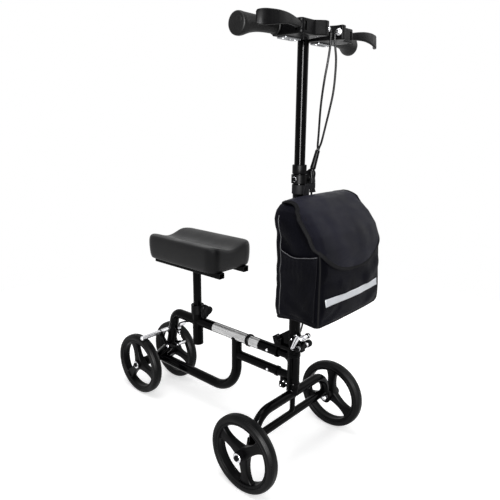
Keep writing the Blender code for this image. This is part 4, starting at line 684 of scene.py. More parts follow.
@once("walker_tyre")
def tyre_rubber(name, wish):
    """Solid tyre with dust in its pores and a satin shine."""
    look = Finish(name, wish.tyre, 0.20, specular=0.08)
    look.tint(look.noise(30.0, 5.0), 0.6, 1.9)
    look.vary("Roughness", look.noise(45.0, 5.0), 0.34, 0.55)
    look.relief(look.noise(900.0, 3.0), 0.00007, 0.7)
    return look


@once("walker_rubber")
def grip_rubber(name, wish):
    """Soft grip rubber with a pebbled skin."""
    look = Finish(name, wish.rubber, 0.46, specular=0.12)
    look.tint(look.noise(20.0), 0.7, 1.5)
    pebbles = look.node("ShaderNodeTexVoronoi", vector=look.place, scale=900.0).outputs[0]
    look.vary("Roughness", look.noise(60.0, 4.0), 0.42, 0.58)
    look.relief(pebbles, 0.00010, 0.6)
    return look


@once("walker_pad_skin")
def pad_skin(name, wish):
    """Moulded skin of the pad, with a fine leather grain and worn shine on its ridges."""
    look = Finish(name, wish.pad, 0.30, specular=0.17)
    look.tint(look.noise(7.0), 0.75, 1.5)
    look.vary("Roughness", look.noise(12.0, 4.0), 0.33, 0.50)
    creases = look.node("ShaderNodeTexVoronoi", vector=look.place, scale=520.0,
                        feature="DISTANCE_TO_EDGE").outputs[0]
    look.relief(creases, 0.00014, 0.5)
    look.relief(look.noise(28.0, 3.0), 0.0006, 0.25)
    return look


def cloth(name, base, shine, fold):
    """Woven nylon: threads, soft creases, and cloudy light and dark patches, painted sheen over an uneven tone."""
    look = Finish(name, base, 0.42, specular=shine)
    # Painted sheen: the colour runs from a quarter to 3.2 times the base in cloudy patches.
    look.tint(look.noise(12.0, 3.0), 0.25, 3.2)
    look.vary("Roughness", look.noise(24.0, 4.0), 0.34, 0.56)
    look.relief(look.noise(13.0, 4.0, (1.0, 1.0, 0.6)), fold, 0.35)
    look.relief(look.threads(0.0011), 0.0003, 0.5)
    return look


@once("walker_cloth")
def bag_cloth(name, wish):
    """Cloth of the bag's body."""
    return cloth(name, wish.cloth, 0.025, 0.006)


@once("walker_flap_cloth")
def flap_cloth_painted_light(name, wish):
    """Cloth of the flap, a stiffer panel, 2.4 times as light as the bag's cloth: painted light from above."""
    # Painted light: the base is the bag cloth's raised 2.4 times, for the light the flap catches from above.
    return cloth(name, [part * 2.4 for part in wish.cloth], 0.05, 0.003)


@once("walker_webbing")
def webbing(name, wish):
    """Ribbed strap webbing, lighter on its ribs and darker in its grooves: painted light and shade."""
    look = Finish(name, wish.cloth, 0.6, specular=0.1)
    ribs = look.node("ShaderNodeTexWave", vector=look.place, scale=2 * pi / (20 * 0.0022),
                     bands_direction="Z").outputs[1]
    # Painted shade: the colour follows the ribs' own relief, darker in the grooves and lighter on the ribs.
    look.tint(ribs, 0.5, 1.8)
    look.vary("Roughness", look.noise(40.0), 0.5, 0.7)
    look.relief(ribs, 0.0004, 0.6)
    return look


@once("walker_binding")
def binding_tape(name, wish):
    """Folded tape, sewn on: ribs along it and the dark of its weave."""
    look = Finish(name, wish.binding, 0.7, specular=0.06)
    look.tint(look.noise(60.0), 0.6, 1.8)
    look.vary("Roughness", look.noise(40.0), 0.6, 0.8)
    look.relief(look.threads(0.0009), 0.0003, 0.6)
    return look


@once("walker_seam")
def seam_thread(name, wish):
    """Grey elastic and thread, ribbed across."""
    look = Finish(name, wish.seam, 0.6, specular=0.2)
    look.tint(look.noise(90.0), 0.5, 1.6)
    look.vary("Roughness", look.noise(60.0), 0.5, 0.7)
    look.relief(look.threads(0.0007), 0.0002, 0.6)
    return look


@once("walker_stripe")
def stripe_film(name, wish):
    """Reflective film: a pale beaded face with soft creases."""
    look = Finish(name, wish.stripe, 0.38, 0.15, 0.6)
    look.tint(look.noise(26.0, 4.0), 0.86, 1.08)
    look.vary("Roughness", look.noise(50.0), 0.30, 0.48)
    cells = look.node("ShaderNodeTexVoronoi", vector=look.place, scale=700.0).outputs[0]
    look.relief(cells, 0.0001, 0.4)
    look.relief(look.noise(40.0, 3.0), 0.0012, 0.3)
    return look


@once("walker_foil")
def foil(name, wish):
    """Thin brushed foil stuck round the tube."""
    look = Finish(name, wish.foil, 0.30, 0.6, 0.4)
    look.tint(look.noise(260.0, 3.0, (1.0, 0.02, 1.0)), 0.2, 1.35)
    look.vary("Roughness", look.noise(70.0, 4.0), 0.18, 0.40)
    look.relief(look.noise(160.0, 3.0), 0.0003, 0.3)
    return look


@once("walker_zinc")
def zinc(name, wish):
    """Bright zinc plate with faint brushing and a cloudy film."""
    look = Finish(name, wish.zinc, 0.22, 1.0)
    look.tint(look.noise(55.0, 5.0), 0.72, 1.2)
    look.vary("Roughness", look.noise(140.0, 4.0, (1.0, 1.0, 6.0)), 0.16, 0.36)
    look.relief(look.noise(800.0, 2.0), 0.00003, 0.5)
    return look


@once("walker_clamp")
def clamp_metal(name, wish):
    """Cast grey metal, tumbled and a little uneven."""
    look = Finish(name, wish.clamp, 0.42, 0.8)
    look.tint(look.noise(70.0, 5.0), 0.75, 1.2)
    look.vary("Roughness", look.noise(90.0, 4.0), 0.34, 0.55)
    look.relief(look.noise(500.0, 3.0), 0.00012, 0.25)
    return look


@once("walker_cable")
def cable_sleeve(name, wish):
    """Smooth extruded sleeve with slight scuffs."""
    look = Finish(name, wish.cable, 0.34, specular=0.12)
    look.tint(look.noise(50.0), 0.7, 1.8)
    look.vary("Roughness", look.noise(80.0, 4.0), 0.28, 0.44)
    look.relief(look.noise(600.0, 2.0), 0.00004, 0.5)
    return look


FINISHES = {"paint": paint, "plastic": plastic, "tyre": tyre_rubber, "rubber": grip_rubber,
            "pad": pad_skin, "cloth": bag_cloth, "flap": flap_cloth_painted_light, "webbing": webbing,
            "binding": binding_tape, "seam": seam_thread, "stripe": stripe_film, "foil": foil, "zinc": zinc,
            "clamp": clamp_metal, "cable": cable_sleeve}


# Stage

def make_camera():
    """Camera where the photograph was taken from."""
    lens = bpy.data.cameras.new("camera")
    lens.sensor_fit = "HORIZONTAL"
    lens.sensor_width = CAMERA_SENSOR
    lens.lens = CAMERA_LENS
    lens.clip_start = 0.05
    eye = bpy.data.objects.new("camera", lens)
    axes = (Vector(CAMERA_RIGHT), Vector(CAMERA_UP), -Vector(CAMERA_AHEAD))
    turn = Matrix([[axis[row] for axis in axes] for row in range(3)]).to_4x4()
    eye.matrix_world = Matrix.Translation(CAMERA_PLACE) @ turn
    bpy.context.scene.collection.objects.link(eye)
    bpy.context.scene.camera = eye


def lamp(name, place, target, size, power, gleam_only=False):
    """Soft rectangular lamp that faces a point. Gleam only is a panel that shows in glossy surfaces alone,
    and not in the matt pieces, which have to be made before it."""
    light = bpy.data.lights.new(name, "AREA")
    light.shape = "RECTANGLE"
    light.size, light.size_y = size
    light.energy = power
    holder = bpy.data.objects.new(name, light)
    holder.location = place
    holder.visible_diffuse = not gleam_only
    holder.rotation_euler = (Vector(target) - Vector(place)).to_track_quat("-Z", "Y").to_euler()
    bpy.context.scene.collection.objects.link(holder)
    if gleam_only:
        shield = bpy.data.collections.new("Shielded from the panel")
        holder.light_linking.receiver_collection = shield
        for piece in bpy.data.objects:
            if piece.name in MATT_PIECES:
                shield.objects.link(piece)
        for entry in shield.collection_objects:
            entry.light_linking.link_state = "EXCLUDE"


def background_rays(tree):
    """One for rays that show the background: those of the camera, of mirrors and of glass."""
    path = tree.nodes.new("ShaderNodeLightPath")
    seen = path.outputs["Is Camera Ray"]
    for kind in ("Is Glossy Ray", "Is Transmission Ray"):
        either = tree.nodes.new("ShaderNodeMath")
        either.operation = "MAXIMUM"
        tree.links.new(seen, either.inputs[0])
        tree.links.new(path.outputs[kind], either.inputs[1])
        seen = either.outputs[0]
    return seen


def end_tree(tree, kind, lit, seen):
    """End a tree with one shader for light on the walker, and another where the background shows."""
    out = tree.nodes.new(kind)
    pick = tree.nodes.new("ShaderNodeMixShader")
    tree.links.new(background_rays(tree), pick.inputs[0])
    tree.links.new(lit.outputs[0], pick.inputs[1])
    tree.links.new(seen.outputs[0], pick.inputs[2])
    tree.links.new(pick.outputs[0], out.inputs["Surface"])


def floor_material(glow):
    """White floor that keeps the walker's shadow."""
    made = bpy.data.materials.new("stage_floor")
    made.use_nodes = True
    tree = made.node_tree
    tree.nodes.clear()
    matt = tree.nodes.new("ShaderNodeBsdfDiffuse")
    matt.inputs["Color"].default_value = FLOOR_SHADE
    light = tree.nodes.new("ShaderNodeEmission")
    light.inputs["Strength"].default_value = glow
    both = tree.nodes.new("ShaderNodeAddShader")
    tree.links.new(matt.outputs[0], both.inputs[0])
    tree.links.new(light.outputs[0], both.inputs[1])
    end_tree(tree, "ShaderNodeOutputMaterial", matt, both)
    return made


def make_world(strength):
    """White behind the walker, and a quieter light from all round."""
    world = bpy.data.worlds.new("studio")
    bpy.context.scene.world = world
    world.use_nodes = True
    tree = world.node_tree
    tree.nodes.clear()
    plain = tree.nodes.new("ShaderNodeBackground")
    plain.inputs["Strength"].default_value = strength
    white = tree.nodes.new("ShaderNodeBackground")
    for light in (plain, white):
        light.inputs["Color"].default_value = WHITE
    end_tree(tree, "ShaderNodeOutputWorld", plain, white)


class WALKER_OT_stage(bpy.types.Operator):
    """Pale floor, soft lamps, white surroundings and the camera"""

    bl_idname = "walker.stage"
    bl_label = "Stage"

    def execute(self, context):
        wish = context.scene.walker_stage
        make_camera()
        context.scene.view_settings.view_transform = "Standard"
        ground = bpy.data.meshes.new("floor")
        rim = [(x, y, 0) for x, y in arc((0.0, 0.0), FLOOR_RADIUS, 0, 360, 96)[:-1]]
        ground.from_pydata(rim, [], [tuple(range(len(rim)))])
        ground.materials.append(floor_material(wish.floor_glow))
        floor = bpy.data.objects.new("floor", ground)
        context.scene.collection.objects.link(floor)
        make_world(wish.surroundings)
        lamp("panel", (-1.72, -1.62, 1.10), (0.0, -0.257, 0.85), (0.6, 1.5), wish.gleam, True)
        lamp("key", (-1.25, -1.75, 1.9), (0.0, -0.1, 0.6), (0.5, 1.2), wish.key)
        lamp("top", (-0.3, -0.2, 3.0), (0.0, 0.0, 0.4), (1.5, 1.5), wish.top)
        lamp("fill", (2.0, -1.2, 1.6), (0.0, 0.0, 0.5), (1.2, 1.6), wish.fill)
        return {"FINISHED"}


# Wheels

def tyre_profile(wish):
    """Tyre section: rounded beads, full flanks, crowned tread with fine lines on its shoulders."""
    half = 0.0145
    profile = [(TYRE_INNER, -half * 0.86), (TYRE_INNER + 0.0006, -half * 0.93), (TYRE_INNER + 0.002, -half * 0.975),
               (TYRE_INNER + 0.005, -half), (WHEEL_RADIUS - wish.crown - 0.004, -half)]
    steps = 60
    for step in range(steps + 1):
        across = -1 + 2 * step / steps
        ridge = 0.0
        if wish.ridges and 0.48 < abs(across) < 0.93:
            wave = (abs(across) - 0.48) / 0.45 * wish.ridges
            ridge = wish.ridge * max(0.0, sin(2 * pi * wave)) ** 2
        fall = wish.crown * abs(across) ** 3.2
        profile.append((WHEEL_RADIUS - fall - ridge, half * 0.975 * across))
    return profile + [(radius, -along) for radius, along in reversed(profile[:5])]


def make_rim(shell, x, y, side, hub_in, hub_out, lead):
    """Moulded rim: channel band, three flared spokes and a long hub."""
    place = (x, y, AXLE_Z)
    outer = TYRE_INNER - GAP
    band = rounded_outline([(outer, -0.0125), (outer, 0.0125), (outer - 0.0075, 0.0125),
                            (outer - 0.0055, 0.0), (outer - 0.0075, -0.0125)],
                           [0.001, 0.001, 0.0016, 0.004, 0.0016], 4)
    shell.lathe(band, "X", place, 112, 0, True)
    lip = 0.0016
    hub = [(AXLE_BORE, -hub_in), (HUB_RADIUS - lip, -hub_in), (HUB_RADIUS - lip * 0.3, -hub_in + lip * 0.3),
           (HUB_RADIUS, -hub_in + lip), (HUB_RADIUS, hub_out - lip),
           (HUB_RADIUS - lip * 0.3, hub_out - lip * 0.3), (HUB_RADIUS - lip, hub_out),
           (AXLE_BORE, hub_out)]
    shell.lathe(carried(hub, side), "X", place, 48, 0, True)
    start = HUB_RADIUS * 0.5
    stop = outer - 0.0045
    stations = refine(((0.0, 0.0165, 0.0108), (0.10, 0.0150, 0.0104), (0.25, 0.0126, 0.0098),
                       (0.45, 0.0112, 0.0092), (0.65, 0.0120, 0.0087), (0.82, 0.0150, 0.0084),
                       (0.93, 0.0200, 0.0082), (1.0, 0.0275, 0.0081)), 4)
    for index in range(3):
        turn = radians(lead) + 2 * pi * index / 3
        outward = Vector((0, -sin(turn), cos(turn)))
        sideways = Vector((0, cos(turn), sin(turn)))
        rings = []
        for reach, width, depth in stations:
            spot = Vector(place) + outward * (start + (stop - start) * reach)
            rings.append([spot + sideways * across + Vector((deep, 0, 0))
                          for across, deep in box_outline(width, depth, 0.0034)])
        shell.loft(rings)
        for way in (-1, 1):
            dot = Vector(place) + outward * (stop - 0.002) + sideways * 0.012 * way
            face = dot + Vector((0.0092 * side, 0, 0))
            shell.rod(face - Vector((0.003 * side, 0, 0)), face, 0.0014, 12, 1, 0.0004)


def make_cap(shell, base, side, y, tail):
    """Washer and domed cap nut on the end of an axle."""
    place = (0, y, AXLE_Z)
    face = base + 0.0016
    top = face + 0.0048
    washer = [(0, tail), (0.004, tail), (0.004, base), (0.0118, base), (0.0122, base + 0.0004),
              (0.0122, face - 0.0004), (0.0118, face), (0.0, face)]
    shell.lathe(carried(washer, side), "X", place, 48, 1)
    dome = [(0.0, face), (0.0072, face), (0.0072, top - 0.0026), (0.0066, top - 0.0014), (0.0050, top - 0.0005),
            (0.0026, top - 0.0001), (0.0, top)]
    shell.lathe(carried(dome, side), "X", place, 32)


class WALKER_OT_wheels(bpy.types.Operator):
    """Four tyres with their rims, and the axle hardware"""

    bl_idname = "walker.wheels"
    bl_label = "Wheels"

    def execute(self, context):
        profile = tyre_profile(context.scene.walker_wheels)
        ends = (("front", FRONT_TRACK, STEER_Y, DROPOUT_FACE, FRONT_HUB_OUT, {"right": 52, "left": 2}),
                ("rear", REAR_TRACK, REAR_Y, REAR_CROSS_HALF, REAR_HUB_OUT, {"right": -16, "left": -16}))
        for end, track, y, carrier, hub_out, leads in ends:
            hub_in = track - carrier - GAP
            for label, side in SIDES.items():
                body = f"{end}_wheel_{label}"
                x = track * side
                tyre = Shell()
                tyre.lathe(profile, "X", (x, y, AXLE_Z), 128, 0, True)
                mount(tyre.build(f"{end}_{label}_tyre", "tyre", sharp=50), body, "tyre_grey",
                      f"tyre_{end}_{label}")
                rim = Shell()
                make_rim(rim, x, y, side, hub_in, hub_out, leads[label])
                mount(rim.build(f"{end}_{label}_rim", "plastic", "zinc"), body, "black_plastic",
                      f"rim_{end}_{label}")
        for label, side in SIDES.items():
            bolt = Shell()
            inner = DROPOUT_FACE - DROPOUT_THICKNESS - GAP
            make_cap(bolt, FRONT_TRACK + FRONT_HUB_OUT + GAP, side, STEER_Y, inner - 0.008)
            mount(bolt.build(f"front_{label}_axle_bolt", "plastic", "zinc"), "steerer", "zinc",
                  f"axle_bolt_front_{label}")
            nut = Shell()
            ring = [(0.0043, inner), (0.0070, inner), (0.0076, inner - 0.0006), (0.0076, inner - 0.0054),
                    (0.0070, inner - 0.006), (0.0043, inner - 0.006)]
            nut.lathe(carried(ring, side), "X", (0, STEER_Y, AXLE_Z), 6, 0, True)
            mount(nut.build(f"front_{label}_axle_nut", "zinc"), "steerer", "zinc", f"axle_nut_front_{label}")
        base = REAR_TRACK + REAR_HUB_OUT + GAP
        axle = Shell()
        make_cap(axle, base, -1, REAR_Y, -(base - 0.001))
        mount(axle.build("rear_axle_rod", "plastic", "zinc"), "frame", "zinc", "rear_axle")
        nut = Shell()
        make_cap(nut, base, 1, REAR_Y, base - 0.001)
        mount(nut.build("rear_axle_cap", "plastic", "zinc"), "frame", "zinc", "rear_axle_nut")
        return {"FINISHED"}


# Frame

def make_tubes(shell):
    """Top tube down to the rear axle, lower tube up to it, short middle tube, seat sleeve, cross tube."""
    top = [(0, TUBE_FRONT_Y, TOP_TUBE_Z), (0, 0.2215, TOP_TUBE_Z), (0, 0.2495, 0.166), (0, REAR_Y, AXLE_Z)]
    shell.sweep(rounded_path(top, [0.035, 0.080]), TUBE_RADIUS, 56)
    lower = [(0, REAR_Y - 0.009, LOWER_TUBE_Z), (0, UPRIGHT_Y, LOWER_TUBE_Z), (0, UPRIGHT_Y, TOP_TUBE_Z)]
    shell.sweep(rounded_path(lower, [0.089], 24), UPRIGHT_RADIUS, 56)
    shell.sweep([(0, TUBE_FRONT_Y, MID_TUBE_Z), (0, UPRIGHT_Y, MID_TUBE_Z)], MID_TUBE_RADIUS, 48)
    shell.rod((0, SEAT_Y, SLEEVE_LOW), (0, SEAT_Y, SLEEVE_TOP), SLEEVE_RADIUS, 56)
    shell.rod((-REAR_CROSS_HALF, REAR_Y, AXLE_Z), (REAR_CROSS_HALF, REAR_Y, AXLE_Z), REAR_CROSS_RADIUS,
              56)
    for height, radius in ((TOP_TUBE_Z, TUBE_RADIUS), (MID_TUBE_Z, MID_TUBE_RADIUS)):
        ferrule = ((STUB_RADIUS, 0.0), (radius + 0.0008, 0.0), (radius + 0.0014, 0.0006), (radius + 0.0014, 0.0075),
                   (radius + 0.0006, 0.0085), (radius - 0.0010, 0.0088))
        shell.lathe(ferrule, "Y", (0, TUBE_FRONT_Y, height), 48)


def make_welds(shell):
    """Weld beads round the joints of the frame."""
    up = (0, 0, 1)
    along = (0, 1, 0)
    seat = (0, SEAT_Y, TOP_TUBE_Z)
    for way in (-1, 1):
        shell.bead(seam_line(seat, (0, way, 0), up, TUBE_RADIUS, SLEEVE_RADIUS))
    shell.bead(seam_line((0, UPRIGHT_Y, TOP_TUBE_Z), (0, 0, -1), along, UPRIGHT_RADIUS, TUBE_RADIUS))
    shell.bead(seam_line((0, UPRIGHT_Y, MID_TUBE_Z), (0, -1, 0), up, MID_TUBE_RADIUS, UPRIGHT_RADIUS))


def foil_patch(shell, start, stop, low, high, look):
    """Thin patch on the top tube's right side, from one angle to another, with rounded corners."""
    radius = TUBE_RADIUS + 0.00025
    reach = stop - start
    half = radians(high - low) / 2
    middle = radians(low + high) / 2
    grid = []
    rows = 18
    columns = 24
    faces = []
    for column in range(columns + 1):
        across = -1 + 2 * column / columns
        squeeze = 1 - 0.10 * abs(across) ** 24
        for row in range(rows + 1):
            turn = middle + half * (-1 + 2 * row / rows) * squeeze
            y = (start + stop) / 2 + reach / 2 * across
            grid.append((-radius * cos(turn), y, TOP_TUBE_Z + radius * sin(turn)))
    for column in range(columns):
        for row in range(rows):
            first = column * (rows + 1) + row
            faces.append((first, first + 1, first + rows + 2, first + rows + 1))
    shell.add(grid, faces, look)


def make_head(shell):
    """Head tube with its two stubs and the bracket of the stop bumper."""
    flare = HEAD_RADIUS + 0.0013
    shell.lathe([(HEAD_BORE, HEAD_LOW), (flare - 0.0006, HEAD_LOW), (flare, HEAD_LOW + 0.0006),
                 (flare, HEAD_LOW + 0.0085), (HEAD_RADIUS + 0.0004, HEAD_LOW + 0.0096), (HEAD_RADIUS, HEAD_LOW + 0.011),
                 (HEAD_RADIUS, HEAD_TOP - 0.011), (HEAD_RADIUS + 0.0004, HEAD_TOP - 0.0096),
                 (flare, HEAD_TOP - 0.0085), (flare, HEAD_TOP - 0.0006), (flare - 0.0006, HEAD_TOP),
                 (HEAD_BORE, HEAD_TOP)], "Z", (0, STEER_Y, 0), 64, 0, True)
    for height in (TOP_TUBE_Z, MID_TUBE_Z):
        shell.sweep([(0, STEER_Y + 0.013, height), (0, TUBE_FRONT_Y + 0.02, height)], STUB_RADIUS, 40)
        shell.bead(seam_line((0, STEER_Y, height), (0, 1, 0), (0, 0, 1), STUB_RADIUS, HEAD_RADIUS), 0.0020)
        heel = STEER_Y + HEAD_RADIUS - 0.002
        foot = height - STUB_RADIUS + 0.002
        gusset = [(heel, foot), (heel, foot - 0.015)] + arc((heel + 0.015, foot - 0.015), 0.013, 180, 90, 10)
        shell.prism(gusset + [(heel + 0.015, foot)], -0.0045, 0.0045, "X", 0.0008)
    stand = 0.009
    block = rounded_box((BUMPER_Y - stand, BUMPER_Z - stand), (BUMPER_Y + stand, BUMPER_Z + stand), 0.004)
    shell.prism(block, -0.0072, 0.0072, "X", 0.001)
    stem = rounded_box((BUMPER_Y - 0.006, BUMPER_Z), (BUMPER_Y + 0.006, MID_TUBE_Z - 0.005), 0.001)
    shell.prism(stem, -0.007, 0.007, "X", 0.0008)


class WALKER_OT_frame(bpy.types.Operator):
    """Welded frame, head tube, bearings, joint screws and stop bumper"""

    bl_idname = "walker.frame"
    bl_label = "Frame"

    def execute(self, context):
        tubes = Shell()
        make_tubes(tubes)
        make_welds(tubes)
        tab = rounded_box((-0.007, STOP_Y - 0.007), (0.007, STOP_Y + 0.018), [0.005, 0.005, 0, 0])
        tubes.prism(tab, STOP_Z - 0.002, STOP_Z + 0.002, "Z", 0.0005)
        band = [(TUBE_RADIUS, -0.1070), (TUBE_RADIUS + 0.0020, -0.1066), (TUBE_RADIUS + 0.0028, -0.1056),
                (TUBE_RADIUS + 0.0028, -0.0984), (TUBE_RADIUS + 0.0020, -0.0974), (TUBE_RADIUS, -0.0970)]
        tubes.lathe(band, "Y", (0, 0, TOP_TUBE_Z), 56, 2)
        for start, stop in FOIL_PATCHES:
            foil_patch(tubes, start, stop, *FOIL_ANGLES, 1)
        mount(tubes.build("frame_tubes", "paint", "foil", "plastic"), "frame", "frame_paint", "main_frame")
        head = Shell()
        make_head(head)
        mount(head.build("steering_head", "paint"), "frame", "frame_paint", "head_tube")
        for label, low in (("lower", CROWN_TOP + GAP), ("upper", HEAD_TOP + GAP)):
            ring = Shell()
            section = collar(HEAD_BORE, BEARING_RADIUS, low, low + BEARING_HEIGHT, 0.0009, 0.0009)
            ring.lathe(section, "Z", (0, STEER_Y, 0), 64, 0, True)
            mount(ring.build(f"{label}_bearing_ring", "paint"), "frame", "zinc", f"head_bearing_{label}")
        for label, height, tube in (("upper", TOP_TUBE_Z, TUBE_RADIUS), ("lower", MID_TUBE_Z, MID_TUBE_RADIUS)):
            screw = Shell()
            base = tube + GAP
            screw.lathe([(0, -0.002), (0.002, -0.002), (0.002, -base), (0.0042, -base), (0.0042, -base - 0.0010),
                         (0.0036, -base - 0.0022), (0.0022, -base - 0.0029), (0.0016, -base - 0.0029),
                         (0.0014, -base - 0.0014), (0, -base - 0.0014)],
                        "X", (0, TUBE_FRONT_Y + 0.030, height), 24)
            mount(screw.build(f"{label}_joint_screw", "zinc"), "frame", "zinc", f"joint_screw_{label}")
        bumper = Shell()
        core = there_and_back([(0, -0.0135), (0.0040, -0.0135), (0.0052, -0.0130), (0.0060, -0.0115)])
        bumper.lathe(core, "X", (0, BUMPER_Y, BUMPER_Z), 32)
        for side in SIDES.values():
            bumper.rod((0.0125 * side, BUMPER_Y, BUMPER_Z), (0.0141 * side, BUMPER_Y, BUMPER_Z), 0.0022, 20, 1,
                       0.0004)
        disc = [(0, 0.0070), (0.0054, 0.0070), (0.0058, 0.0080), (0.0058, 0.0122), (0.0050, 0.0134),
                (0.0028, 0.0136), (0.0022, 0.0124), (0, 0.0124)]
        for y, z in BUMPER_DISCS:
            for way in (1, -1):
                bumper.lathe(carried(disc, way), "X", (0, y, z), 32)
            for side in SIDES.values():
                bumper.rod((0.0122 * side, y, z), (0.0139 * side, y, z), 0.0021, 20, 1, 0.0005)
        mount(bumper.build("steering_bumper", "rubber", "zinc"), "frame", "black_rubber", "stop_bumper")
        return {"FINISHED"}


# Front axle

class WALKER_OT_axle(bpy.types.Operator):
    """Front axle beam: arch, lower tube, strut, dropout plates and crown"""

    bl_idname = "walker.axle"
    bl_label = "Front axle"

    def execute(self, context):
        beam = Shell()
        foot = AXLE_Z + 0.016
        half = ARCH_HALF
        arch = [(-half, STEER_Y, foot), (-half, STEER_Y, ARCH_Z), (half, STEER_Y, ARCH_Z), (half, STEER_Y, foot)]
        beam.sweep(rounded_path(arch, [ARCH_BEND, ARCH_BEND], 20), ARCH_RADIUS, 48)
        cross_z = AXLE_Z + CROSS_RISE
        beam.sweep([(-half, STEER_Y, cross_z), (half, STEER_Y, cross_z)], CROSS_RADIUS, 40)
        beam.sweep([(0, STEER_Y, cross_z), (0, STEER_Y, ARCH_Z)], STRUT_RADIUS, 32)
        crown = HEAD_RADIUS + 0.001
        beam.lathe([(0, ARCH_Z), (HEAD_RADIUS, ARCH_Z), (crown, CROWN_TOP - 0.0016), (crown, CROWN_TOP - 0.0006),
                    (crown - 0.0006, CROWN_TOP), (0.0125, CROWN_TOP), (0.0125, SOCKET_LOW + 0.010),
                    (0, SOCKET_LOW + 0.010)], "Z", (0, STEER_Y, 0), 64)
        beam.bead(seam_line((0, STEER_Y, ARCH_Z), (0, 0, 1), (1, 0, 0), HEAD_RADIUS, HEAD_RADIUS), 0.0015)
        beam.bead(seam_line((0, STEER_Y, ARCH_Z), (0, 0, -1), (1, 0, 0), STRUT_RADIUS, ARCH_RADIUS), 0.0015)
        beam.bead(seam_line((0, STEER_Y, cross_z), (0, 0, 1), (1, 0, 0), STRUT_RADIUS, CROSS_RADIUS), 0.0015)
        for side in SIDES.values():
            end = (half * side, STEER_Y, cross_z)
            beam.bead(seam_line(end, (-side, 0, 0), (0, 0, 1), CROSS_RADIUS, ARCH_RADIUS), 0.0016)
            outline = arc((STEER_Y, AXLE_Z), DROPOUT_RADIUS, 180, 360, 28)
            outline += [(STEER_Y + 0.013, AXLE_Z + 0.024), (STEER_Y - 0.013, AXLE_Z + 0.024)]
            beam.prism(outline, (DROPOUT_FACE - DROPOUT_THICKNESS) * side, DROPOUT_FACE * side, "X", 0.0008)
        mount(beam.build("axle_beam", "paint"), "steerer", "frame_paint", "front_axle_beam")
        return {"FINISHED"}


# Fold hinge and quick release

def make_hinge_base(shell):
    """Forged base: socket on the steerer, plate, two ears, tongue for the skewer and the rear wing."""
    low = HINGE_TOP - 0.0095
    shell.lathe([(0, SOCKET_LOW), (SOCKET_RADIUS - 0.001, SOCKET_LOW), (SOCKET_RADIUS, SOCKET_LOW + 0.001),
                 (SOCKET_RADIUS, low + 0.001), (0, low + 0.001)], "Z", (0, STEER_Y, 0), 56)
    back = PIVOT_Y + 0.014
    wide = 0.0191
    waist = 0.0115
    outline = rounded_outline([(-waist, STEER_Y - 0.016), (waist, STEER_Y - 0.016), (wide, STEER_Y), (wide, back),
                               (-wide, back), (-wide, STEER_Y)], [0.003, 0.003, 0.012, 0.004, 0.004, 0.012], 7)
    shell.prism(outline, low, HINGE_TOP, "Z", 0.0012)
    ear = arc((PIVOT_Y, PIVOT_Z), 0.0105, 0, 180, 20) + [(PIVOT_Y - 0.0105, low + 0.002),
                                                       (PIVOT_Y + 0.0105, low + 0.002)]
    for side in SIDES.values():
        shell.prism(ear, 0.0125 * side, 0.0185 * side, "X", 0.0008)
    tip = SKEWER_Y - 0.0073
    heel = SKEWER_Y + 0.0075
    top = SKEWER_Z + 0.009
    throat = 0.0028
    fork = [(tip + 0.002, low + 0.001), (STEER_Y - 0.010, low + 0.001), (STEER_Y - 0.010, HINGE_TOP - 0.001),
            (heel, HINGE_TOP - 0.001), (heel, top - 0.001), (heel - 0.001, top), (SKEWER_Y + 0.0042, top)]
    fork += arc((SKEWER_Y, SKEWER_Z), throat, 0, -180, 12)
    fork += [(SKEWER_Y - 0.0037, top), (tip + 0.001, top), (tip, top - 0.001), (tip, low + 0.003)]
    shell.prism(fork, -0.006, 0.006, "X")
    wing = rounded_outline([(back - 0.006, low + 0.0006), (back + 0.004, low + 0.0006),
                            (back + 0.0105, HINGE_TOP + 0.0118), (back + 0.0065, HINGE_TOP + 0.0135),
                            (back, HINGE_TOP + 0.001), (back - 0.006, HINGE_TOP + 0.001)],
                           [0, 0.005, 0.0014, 0.0014, 0.004, 0], 5)
    shell.prism(wing, -0.012, 0.012, "X", 0.001)


def make_column_yoke(shell):
    """Hinge yoke of the outer column: socket, rear knuckle with its sloped web, two front lugs."""
    yoke_top = COLUMN_LOW + 0.036
    shell.lathe([(0, COLUMN_LOW), (YOKE_RADIUS - 0.0008, COLUMN_LOW), (YOKE_RADIUS, COLUMN_LOW + 0.0008),
                 (YOKE_RADIUS, yoke_top - 0.0036), (YOKE_RADIUS - 0.0004, yoke_top - 0.0022),
                 (COLUMN_RADIUS + 0.0010, yoke_top - 0.0002), (COLUMN_RADIUS, yoke_top + 0.0010),
                 (COLUMN_RADIUS, COLUMN_TOP), (INNER_RADIUS + GAP, COLUMN_TOP),
                 (INNER_RADIUS + GAP, COLUMN_TOP - 0.03), (0, COLUMN_TOP - 0.03)], "Z", (0, STEER_Y, 0), 64)
    web = [(STEER_Y + 0.006, COLUMN_LOW + 0.0002), (PIVOT_Y, COLUMN_LOW + 0.0002)]
    web += arc((PIVOT_Y, PIVOT_Z), PIVOT_Z - COLUMN_LOW - 0.0002, -80, 45, 24)
    web += [(STEER_Y + 0.014, yoke_top + 0.006), (STEER_Y + 0.006, yoke_top + 0.006)]
    shell.prism(web, -0.0122, 0.0122, "X", 0.0014)
    before = STEER_Y - SOCKET_RADIUS - GAP * 2
    lug = arc((SKEWER_Y, SKEWER_Z), 0.0085, 270, 120, 20)
    lug += [(STEER_Y - 0.010, SKEWER_Z + 0.030), (STEER_Y - 0.010, COLUMN_LOW + 0.0004),
            (before, COLUMN_LOW + 0.0004), (before, SKEWER_Z - 0.0085)]
    for side in SIDES.values():
        shell.prism(lug, 0.0066 * side, 0.0125 * side, "X", 0.0008)


